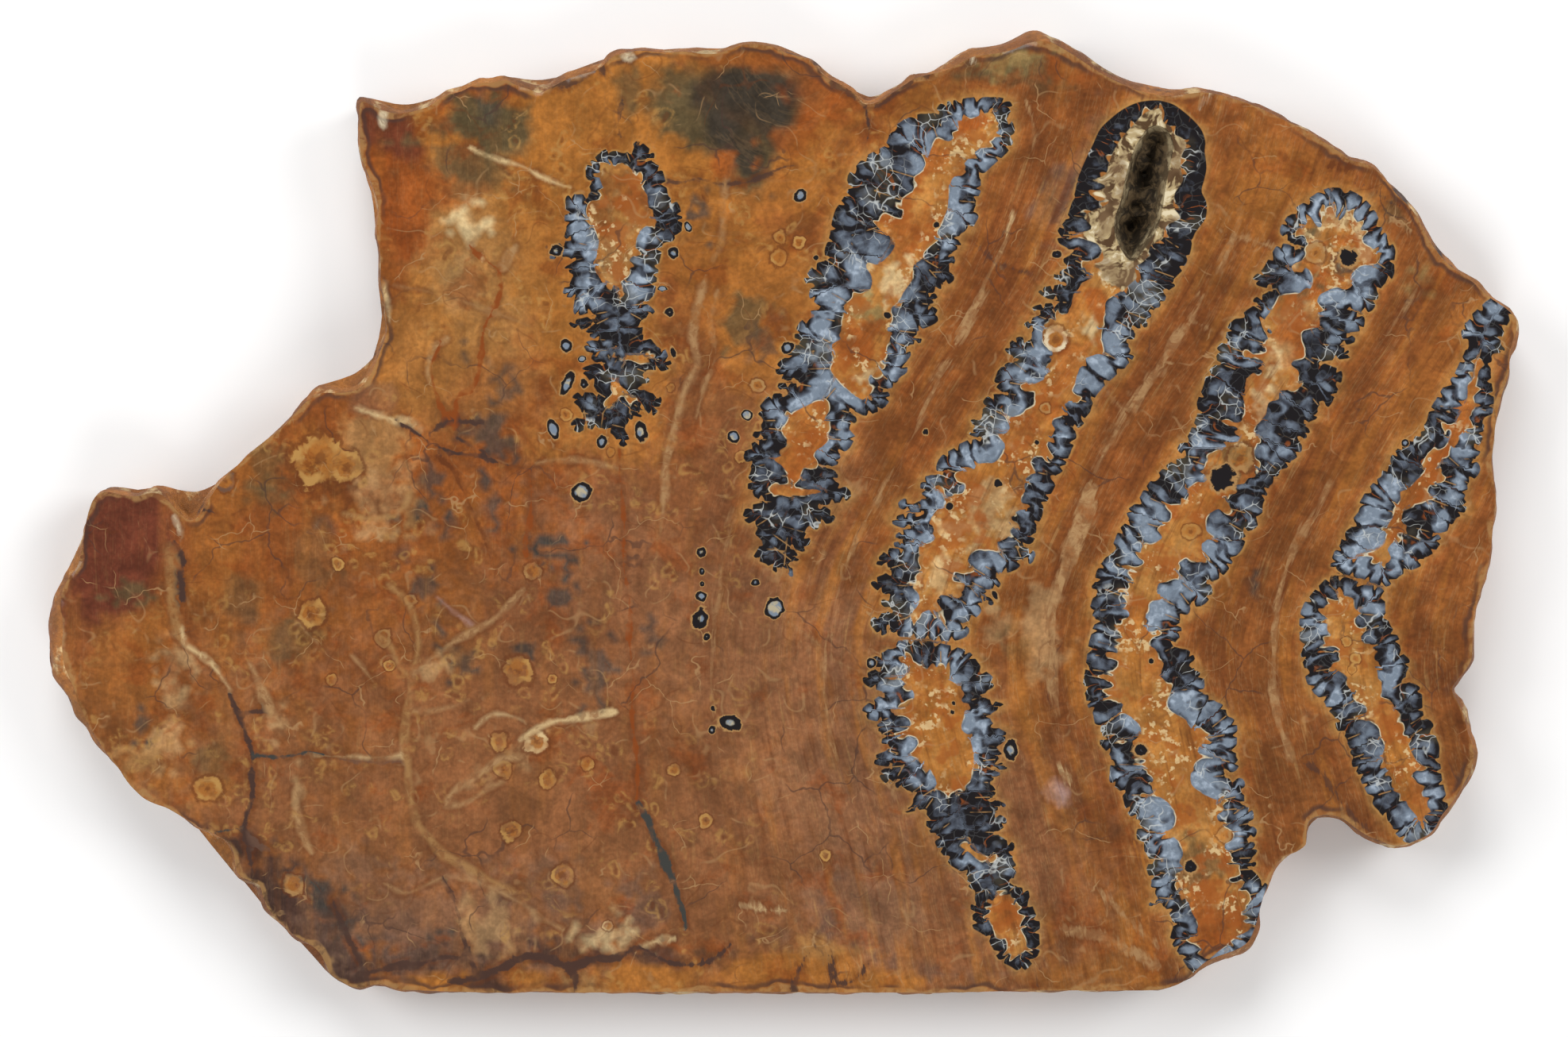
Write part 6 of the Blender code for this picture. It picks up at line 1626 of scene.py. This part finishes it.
@dataclass
class Textures:
    """Noises that several steps of the face's recipe share, coarse to fine, and bent coordinates."""

    at: object
    wide: object
    broad: object
    medium: object
    small: object
    tiny: object
    bent: object

    @classmethod
    def make(cls, n: Nodes) -> "Textures":
        """Adds the shared nodes."""
        at = n.add("TexCoord").outputs["Object"]
        swirl = n.add("TexNoise", {"Vector": at, "Scale": 260.0, "Detail": 3.0}).outputs["Color"]
        bent = n.add("VectorMath", {0: swirl, 1: (0.0040,) * 3, 2: at}, operation="MULTIPLY_ADD").outputs[0]
        return cls(at, n.noise(at, 130.0, 2.0), n.noise(at, 330.0, 2.0), n.noise(at, 620.0, 2.0),
                   n.noise(at, 1000.0, 3.0, 0.65, 0.6), n.noise(at, 1800.0, 2.0), bent)


@dataclass
class Enamel:
    """What the enamel's recipe reads: depth from either edge, lobes, seams and its smooth stretch."""

    outer: object
    inner: object
    lobe: object
    seam: object
    smooth: object

    @classmethod
    def make(cls, n: Nodes, t: Textures) -> "Enamel":
        """Folds the enamel, but for the third plate's tip, where it is a smooth dark band."""
        plate, core = n.value("plate"), n.value("core")
        inputs = {"Along": n.value("along"), "Plate": plate, "Core": core}
        folds = n.add("Group", inputs, node_tree=enamel_folds()).outputs
        place = n.add("SeparateXYZ", {0: t.at}).outputs
        tip = n.times(n.ramp(place["X"], 0.0225, 0.0245), n.ramp(place["X"], 0.0375, 0.0360))
        smooth = n.times(tip, n.ramp(place["Y"], 0.0190, 0.0235))
        return cls(n.blend(smooth, folds["Outer"], plate), folds["Inner"],
                   n.blend(n.times(smooth, 0.6), folds["Lobe"], 0.8), folds["Seam"], smooth)


@dataclass(frozen=True)
class PolishedStone:
    """The polished face: stone, enamel and all that is drawn on it."""

    roughness: float = 0.24
    enamel_roughness: float = 0.14
    hollow_roughness: float = 0.75
    specular: float = 0.25
    pale_enamel: Colour = (0.180, 0.222, 0.278)
    mid_enamel: Colour = (0.062, 0.072, 0.095)
    dark_enamel: Colour = (0.010, 0.008, 0.009)
    # painted highlight on the paler enamel
    painted_glint: Colour = (0.40, 0.47, 0.56)
    enamel_stain: Colour = (0.105, 0.088, 0.055)
    crackle: Colour = (0.58, 0.60, 0.58)
    islet_heart: Colour = (0.420, 0.360, 0.240)
    # painted shade between the lumps of the hollow's lining
    lining_painted_shade: Colour = (0.085, 0.045, 0.020)
    lining_body: Colour = (0.440, 0.330, 0.170)
    # painted light on the crests of the lining's lumps
    lining_crest_painted_light: Colour = (0.700, 0.600, 0.400)
    lining_rust: Colour = (0.200, 0.120, 0.060)
    # painted shade and painted light on the knobs in the hollow
    knob_painted_shade: Colour = (0.110, 0.075, 0.040)
    knob_painted_light: Colour = (0.480, 0.380, 0.220)
    # the hollow's floor, darkened as painted shade, with its own paler blotches
    floor_painted_shade: Colour = (0.022, 0.015, 0.008)
    floor_painted_shade_pale: Colour = (0.150, 0.100, 0.050)

    def material(self) -> bpy.types.Material:
        """Builds the finish.

        Returns:
            A material that reads the face's fields.
        """
        material, n = new_finish("polished_face")
        t = Textures.make(n)
        folds = Enamel.make(n, t)
        colour = self.cores(n, t, n.grained(self.ground(n, t), 0.85))
        colour = self.hairlines(n, t, colour)
        colour = self.rim_band(n, t, colour)
        colour = self.eyes(n, t, colour)
        colour = self.strokes(n, t, colour)
        halo = n.times(n.ramp(folds.outer, -0.26, -0.04), n.ramp(t.medium, 0.35, 0.65, 0.05, 0.55))
        halo = n.times(halo, n.ramp(n.value("core"), 0.0, -0.2))
        colour = n.mix(halo, colour, Tint.HONEY.value)
        mask = n.times(n.ramp(folds.outer, -0.045, 0.045), n.ramp(folds.inner, -0.045, 0.045))
        colour = n.mix(mask, colour, self.enamel(n, t, folds))
        colour = self.islets(n, t, colour)
        colour, hollow = self.hollow(n, t, colour)
        rough = n.ramp(mask, 0.0, 1.0, self.roughness, self.enamel_roughness)
        rough = n.math("MAXIMUM", rough, n.times(hollow, self.hollow_roughness))
        n.finish(Base_Color=colour, Roughness=rough, Specular_IOR_Level=self.specular)
        return material

    def ground(self, n: Nodes, t: Textures) -> Socket:
        """The stone's own colour, with fibres that follow the plates and thin reddish wisps."""
        across = n.value("across")
        y = n.times(n.add("SeparateXYZ", {0: t.at}).outputs["Y"], 1000.0)
        place = n.add("CombineXYZ", {0: n.times(across, 1.5), 1: n.times(y, 0.13)}).outputs[0]
        fibres = n.noise(place, 1.0, 4.0, 0.62)
        stretched = n.add("VectorMath", {0: place, 1: (0.3, 0.5, 1.0)}, operation="MULTIPLY").outputs[0]
        bands = n.noise(stretched, 1.0, 3.0)
        east = n.ramp(across, -12.0, 4.0, 0.35, 1.0)
        colour = n.colour("ground").outputs["Color"]
        colour = n.mix(n.times(n.ramp(fibres, 0.53, 0.70, 0.0, 0.55), east), colour, Tint.DARK_DENTINE.value)
        colour = n.mix(n.times(n.ramp(bands, 0.50, 0.68, 0.0, 0.55), east), colour, Tint.OCHRE.value)
        colour = n.mix(n.times(n.ramp(fibres, 0.42, 0.28, 0.0, 0.55), east), colour, Tint.TAN.value)
        streak = n.ramp(n.math("ABSOLUTE", n.math("SUBTRACT", fibres, 0.47)), 0.020, 0.003, 0.0, 0.20)
        colour = n.mix(n.times(streak, east), colour, Tint.PALE.value)
        wisps = n.times(n.ramp(n.noise(t.bent, 260.0, 4.0, 0.6), 0.53, 0.68, 0.0, 0.55), self.lit(n))
        return n.mix(wisps, colour, Tint.RUST.value)

    def lit(self, n: Nodes) -> Socket:
        """1 where the ground is of a light colour and 0 in its dark stains."""
        return n.ramp(n.green(n.colour("ground").outputs["Color"]), 0.05, 0.08)

    def cores(self, n: Nodes, t: Textures, colour: object) -> Socket:
        """Clusters of pale specks, red blots and a few dark cells inside the cores."""
        inside = n.ramp(n.value("core"), 0.0, 0.15)
        blots = n.ramp(t.medium, 0.50, 0.62, 0.0, 0.65)
        colour = n.mix(n.times(blots, inside), colour, Tint.RED_EARTH.value)
        share = n.times(n.times(n.ramp(t.tiny, 0.54, 0.64), n.ramp(t.broad, 0.46, 0.58)), inside)
        colour = n.mix(n.times(share, 0.80), colour, Tint.CREAM.value)
        drops = n.times(n.ramp(t.small, 0.72, 0.78, 0.0, 0.8), inside)
        return n.mix(drops, colour, Tint.DARK_PLUM.value)

    def hairlines(self, n: Nodes, t: Textures, colour: object) -> Socket:
        """Crooked hair cracks, some dark and some healed pale, and small ring-shaped cells in the west."""
        open_cracks = (150.0, Tint.DARK_PLUM, 0.014, t.wide)
        healed_cracks = (190.0, Tint.PALE, 0.010, t.broad)
        for scale, tint, width, seen in (open_cracks, healed_cracks):
            edge = n.cell_edge(t.bent, scale)
            share = n.times(n.ramp(edge, width, width * 0.3), n.ramp(seen, 0.52, 0.62, 0.0, 0.6))
            colour = n.mix(share, colour, tint.value)
        for level, tint, seen in ((0.46, Tint.PALE, t.medium), (0.55, Tint.DARK_DENTINE, t.broad)):
            near = n.math("ABSOLUTE", n.math("SUBTRACT", t.wide, level))
            share = n.times(n.ramp(near, 0.009, 0.001), n.ramp(seen, 0.46, 0.60, 0.0, 0.35))
            colour = n.mix(share, colour, tint.value)
        cell = n.add("TexVoronoi", {"Vector": t.bent, "Scale": 560.0}).outputs["Distance"]
        seen = n.times(n.ramp(t.wide, 0.54, 0.44), n.ramp(n.value("across"), 2.0, -8.0))
        seen = n.times(seen, self.lit(n))
        ring = n.times(n.times(n.ramp(cell, 0.14, 0.27), n.ramp(cell, 0.42, 0.28)), seen)
        colour = n.mix(n.times(ring, n.ramp(t.small, 0.38, 0.62, 0.0, 0.5)), colour, Tint.HONEY.value)
        heart = n.times(n.ramp(cell, 0.18, 0.08), seen)
        return n.mix(n.times(heart, 0.5), colour, Tint.DARK_DENTINE.value)

    def rim_band(self, n: Nodes, t: Textures, colour: object) -> Socket:
        """The crust's section along the rim: a tan edge with a dark line inside it, both broken."""
        away = n.plus(n.value("rim"), n.sway(t.broad, 1.9))
        there = n.ramp(t.wide, 0.44, 0.56)
        dark = n.times(n.times(n.ramp(away, 0.22, 0.38), n.ramp(away, 0.80, 0.46)), there)
        colour = n.mix(n.times(dark, 0.75), colour, Tint.DARK_PLUM.value)
        pale = n.times(n.ramp(away, 0.36, 0.12), n.ramp(t.small, 0.40, 0.55, 0.3, 1.0))
        return n.mix(n.times(pale, 0.65), colour, Tint.TAN.value)

    def eyes(self, n: Nodes, t: Textures, colour: object) -> Socket:
        """Round fossil cells: a tinted ring, a darker rim and a dark middle."""
        eye = n.plus(n.value("eye"), n.sway(t.small, 0.9))
        tint = n.colour("eye_tint")
        ring = n.times(n.ramp(eye, 0.48, 0.70), n.ramp(eye, 1.02, 0.86))
        outline = n.times(n.ramp(eye, 0.86, 1.0), n.ramp(eye, 1.25, 1.04))
        fill = n.times(n.ramp(eye, 0.95, 0.6), n.ramp(t.tiny, 0.45, 0.6, 0.15, 0.6))
        colour = n.mix(fill, colour, Tint.OCHRE.value)
        colour = n.mix(n.times(ring, n.ramp(t.medium, 0.36, 0.62, 0.15, 0.9)), colour, tint.outputs["Color"])
        colour = n.mix(n.times(outline, 0.6), colour, Tint.DARK_DENTINE.value)
        return n.mix(n.times(n.ramp(eye, 0.36, 0.16), 0.6), colour, Tint.DARK_DENTINE.value)

    def strokes(self, n: Nodes, t: Textures, colour: object) -> Socket:
        """Cracks and veins, ragged along their edges, broken in places and brushed along the plates."""
        across = n.value("across")
        y = n.times(n.add("SeparateXYZ", {0: t.at}).outputs["Y"], 330.0)
        brushed = n.add("CombineXYZ", {0: n.times(across, 2.6), 1: y}).outputs[0]
        brush = n.math("SUBTRACT", n.noise(brushed, 1.0, 3.0, 0.6), 0.46)
        brush = n.times(brush, n.ramp(across, -14.0, -4.0, 0.0, 1.8))
        ragged = n.plus(n.sway(t.small, 0.75), brush)
        ragged = n.plus(ragged, n.sway(t.broad, 0.9))
        away = n.plus(n.value("stroke"), ragged)
        tint = n.colour("stroke_tint")
        shadow = n.times(n.times(n.ramp(away, 0.55, 0.12), 0.45), n.ramp(t.medium, 0.40, 0.55))
        colour = n.mix(shadow, colour, Tint.DARK_DENTINE.value)
        pale = n.ramp(n.green(tint.outputs["Color"]), 0.09, 0.20)
        crisp = n.times(n.ramp(away, 0.12, -0.06), n.math("SUBTRACT", 1.0, pale))
        wispy = n.times(n.ramp(away, 0.26, -0.18), n.ramp(t.small, 0.38, 0.60, 0.35, 1.0))
        share = n.plus(crisp, n.times(wispy, pale))
        share = n.times(n.times(share, tint.outputs["Alpha"]), n.ramp(t.medium, 0.34, 0.50, 0.40, 1.0))
        return n.mix(share, colour, tint.outputs["Color"])

    def enamel(self, n: Nodes, t: Textures, folds: Enamel) -> Socket:
        """Folded enamel: pale hearts in dark lobes, painted glints on the pale ones, seams with a rusty
        thread and a white crackle.
        """
        dark = n.plus(n.times(n.value("dark"), 0.85), n.sway(t.small, 1.0))
        dark = n.plus(dark, n.ramp(folds.outer, 0.80, 0.0, 0.0, 0.66))
        dark = n.plus(dark, n.ramp(folds.inner, 0.40, 0.02, 0.0, 0.30))
        dark = n.plus(dark, n.ramp(folds.lobe, 1.0, 0.10, -0.22, 0.48))
        dark = n.plus(dark, n.times(folds.smooth, 0.30))
        dark = n.plus(dark, n.ramp(t.medium, 0.35, 0.68, -0.16, 0.22))
        dark = n.plus(dark, n.ramp(n.value("seam"), 0.30, 0.0, 0.0, 0.35))
        colour = n.mix(n.ramp(dark, 0.10, 0.66), self.pale_enamel, self.mid_enamel)
        colour = n.mix(n.ramp(dark, 0.50, 1.0), colour, self.dark_enamel)
        # painted highlight: tiny pale blue-grey glints where the enamel is pale
        painted_glint_share = n.times(n.ramp(dark, 0.30, -0.10), n.ramp(t.tiny, 0.42, 0.68, 0.0, 0.80))
        colour = n.mix(painted_glint_share, colour, self.painted_glint)
        colour = n.mix(n.ramp(t.broad, 0.56, 0.70, 0.0, 0.40), colour, self.enamel_stain)
        thread = n.times(folds.seam, n.ramp(t.medium, 0.50, 0.64, 0.0, 0.6))
        colour = n.mix(thread, colour, Tint.RED_EARTH.value)
        line = n.times(n.ramp(n.value("seam"), 0.07, 0.02), n.ramp(t.medium, 0.44, 0.58, 0.0, 0.75))
        colour = n.mix(line, colour, Tint.TAN.value)
        edge = n.times(n.ramp(folds.inner, 0.12, 0.03), n.ramp(t.medium, 0.46, 0.58, 0.0, 0.85))
        colour = n.mix(edge, colour, Tint.IVORY.value)
        lines = n.ramp(n.cell_edge(t.bent, 900.0), 0.045, 0.0)
        white = n.times(lines, n.ramp(t.broad, 0.52, 0.60, 0.05, 0.7))
        return n.mix(white, colour, self.crackle)

    def islets(self, n: Nodes, t: Textures, colour: object) -> Socket:
        """Small loops of enamel with a pale heart."""
        islet = n.plus(n.value("islet"), n.sway(t.small, 1.7))
        colour = n.mix(n.times(n.ramp(islet, -0.45, -0.1), n.ramp(islet, 0.15, 0.0)), colour, Tint.TAN.value)
        colour = n.mix(n.ramp(islet, -0.06, 0.12), colour, self.dark_enamel)
        heart = n.mix(n.ramp(t.small, 0.36, 0.56), self.islet_heart, self.pale_enamel)
        return n.mix(n.ramp(islet, 0.80, 1.25), colour, heart)

    def hollow(self, n: Nodes, t: Textures, colour: object) -> tuple[Socket, Socket]:
        """The open hollow: a frilled cream lining round it, with painted shade between its lumps and painted
        light on their crests, then knobs in painted light and shade that get dark towards its floor, a
        painted shade.
        """
        wobble = n.sway(t.small, 1.3)
        pocket = n.value("pocket")
        around = n.times(n.ramp(n.plus(pocket, wobble), -2.7, -2.3), n.ramp(n.value("core"), 0.0, 0.12))
        frill = n.noise(t.bent, 900.0, 3.0, 0.6)
        # the lining's cream body, with painted shade between its lumps and painted light on their crests; the
        # rust is its own colour
        lining = n.mix(n.ramp(frill, 0.44, 0.54), self.lining_painted_shade, self.lining_body)
        lining = n.mix(n.ramp(frill, 0.55, 0.64), lining, self.lining_crest_painted_light)
        lining = n.mix(n.ramp(t.broad, 0.52, 0.62, 0.0, 0.6), lining, self.lining_rust)
        colour = n.mix(around, colour, lining)
        inside = n.ramp(pocket, -0.05, 0.05)
        # painted light and shade on the knobs, where noise picks which
        knobs = n.mix(n.ramp(frill, 0.42, 0.60), self.knob_painted_shade, self.knob_painted_light)
        depth = n.plus(pocket, n.times(wobble, 0.9))
        # the floor: its own paler blotches on a dark that is painted shade
        floor = n.mix(n.ramp(t.small, 0.42, 0.66), self.floor_painted_shade, self.floor_painted_shade_pale)
        # painted shade: the knobs darken towards the middle of the hollow
        knobs = n.mix(n.ramp(depth, 0.0, 0.60), knobs, floor)
        return n.mix(inside, colour, knobs), inside


@dataclass(frozen=True)
class NaturalCrust:
    """The rim's natural surface: rough cement, rust and pale grains."""

    roughness: float = 0.72

    def material(self) -> bpy.types.Material:
        """Builds the finish.

        Returns:
            A rough stone material.
        """
        material, n = new_finish("natural_crust")
        at = n.add("TexCoord").outputs["Object"]
        patches = n.ramp(n.noise(at, 180.0, 5.0, 0.6, 0.6), 0.38, 0.62)
        colour = n.mix(patches, Tint.BROWN.value, Tint.OCHRE.value)
        colour = n.mix(n.ramp(n.noise(at, 260.0, 4.0, 0.6), 0.56, 0.70), colour, Tint.DARK_PLUM.value)
        colour = n.mix(n.ramp(n.noise(at, 420.0, 4.0, 0.65), 0.54, 0.68, 0.0, 0.8), colour, Tint.CREAM.value)
        colour = n.grained(colour, 0.9)
        bump = n.add("Bump", {"Height": n.noise(at, 900.0, 5.0, 0.65), "Strength": 0.6, "Distance": 0.0006})
        n.finish(Base_Color=colour, Roughness=self.roughness, Normal=bump.outputs[0])
        return material


@dataclass(frozen=True)
class SawnBack:
    """The back, sawn and not polished: the same stone, dull, with faint straight saw marks."""

    roughness: float = 0.62

    def material(self) -> bpy.types.Material:
        """Builds the finish.

        Returns:
            A dull stone material.
        """
        material, n = new_finish("sawn_back")
        at = n.add("TexCoord").outputs["Object"]
        patches = n.ramp(n.noise(at, 70.0, 5.0, 0.6, 1.2), 0.40, 0.60)
        colour = n.grained(n.mix(patches, Tint.BROWN.value, Tint.DENTINE.value), 0.9)
        inputs = {"Vector": at, "Scale": 420.0, "Distortion": 1.2, "Detail": 2.0}
        marks = n.add("TexWave", inputs, bands_direction="Y").outputs["Fac"]
        bump = n.add("Bump", {"Height": marks, "Strength": 0.12, "Distance": 0.0002})
        n.finish(Base_Color=colour, Roughness=self.roughness, Normal=bump.outputs[0])
        return material


# Floor, camera and light


@dataclass(frozen=True)
class Studio:
    """A copy stand: a pale floor, the camera straight above it and four soft lamps round about.

    The floor's half width and the lamps' size and places are metres.
    """

    lens_mm: float = 100.0
    sensor_mm: float = 36.0
    picture_width: float = 127.42
    picture_middle: Point = (0.16, -0.58)
    face_height: float = 7.0
    floor_colour: Colour = (0.95, 0.95, 0.95)
    floor_half_width: float = 3.0
    lamp_watts: float = 1.13
    lamp_size: float = 0.30
    lamp_reach: float = 0.42
    lamp_height: float = 0.40
    world_strength: float = 0.31

    def floor(self) -> None:
        """Lays the floor, which isn't part of the object."""
        mesh = bpy.data.meshes.new("floor")
        far = self.floor_half_width
        corners = [(-far, -far, 0), (far, -far, 0), (far, far, 0), (-far, far, 0)]
        mesh.from_pydata(corners, [], [(0, 1, 2, 3)])
        floor = bpy.data.objects.new("floor", mesh)
        floor.location.z = -0.0001
        bpy.context.scene.collection.objects.link(floor)
        material = bpy.data.materials.new("floor")
        material.use_nodes = True
        shader = material.node_tree.nodes["Principled BSDF"]
        shader.inputs["Base Color"].default_value = (*self.floor_colour, 1.0)
        shader.inputs["Roughness"].default_value = 0.9
        shader.inputs["Specular IOR Level"].default_value = 0.1
        mesh.materials.append(material)

    def camera(self) -> None:
        """Hangs the camera over the slice, as far off as its lens needs to frame it."""
        data = bpy.data.cameras.new("camera")
        data.lens = self.lens_mm
        data.sensor_width = self.sensor_mm
        camera = bpy.data.objects.new("camera", data)
        height = self.face_height + self.picture_width * self.lens_mm / self.sensor_mm
        camera.location = (self.picture_middle[0] * MM, self.picture_middle[1] * MM, height * MM)
        bpy.context.scene.collection.objects.link(camera)
        bpy.context.scene.camera = camera

    def lamps(self) -> None:
        """Sets a big soft lamp on each side, low enough that the polish doesn't mirror it into the lens."""
        sides = ((-1, 0.35, 1.1), (1, 0.35, 0.95), (-0.2, 1, 1.15), (0.2, -1, 0.8))
        for number, (x, y, share) in enumerate(sides):
            data = bpy.data.lights.new(f"lamp_{number}", "AREA")
            data.energy = self.lamp_watts * share
            data.shape = "DISK"
            data.size = self.lamp_size
            lamp = bpy.data.objects.new(data.name, data)
            lamp.location = (self.lamp_reach * x, self.lamp_reach * y, self.lamp_height)
            lamp.rotation_euler = (-lamp.location).to_track_quat("-Z", "Y").to_euler()
            bpy.context.scene.collection.objects.link(lamp)

    def surroundings(self) -> None:
        """Even grey light from all around, and colours shown as they are."""
        world = bpy.data.worlds.new("world")
        world.use_nodes = True
        world.node_tree.nodes["Background"].inputs["Color"].default_value = (1.0, 1.0, 1.0, 1.0)
        world.node_tree.nodes["Background"].inputs["Strength"].default_value = self.world_strength
        bpy.context.scene.world = world
        bpy.context.scene.view_settings.view_transform = "Standard"

    def build(self) -> None:
        """Makes all of it."""
        self.floor()
        self.camera()
        self.lamps()
        self.surroundings()


def main() -> None:
    """Builds the slice and its studio in order."""
    logging.basicConfig(level=logging.INFO, format="%(name)s: %(message)s")
    slab = Slice()
    piece = slab.build()
    slab.dress(piece)
    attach(piece, BODY)
    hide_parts(NODE)
    LOG.info("slice dressed")
    Studio().build()
    LOG.info("studio set")


if __name__ == "__main__":
    main()
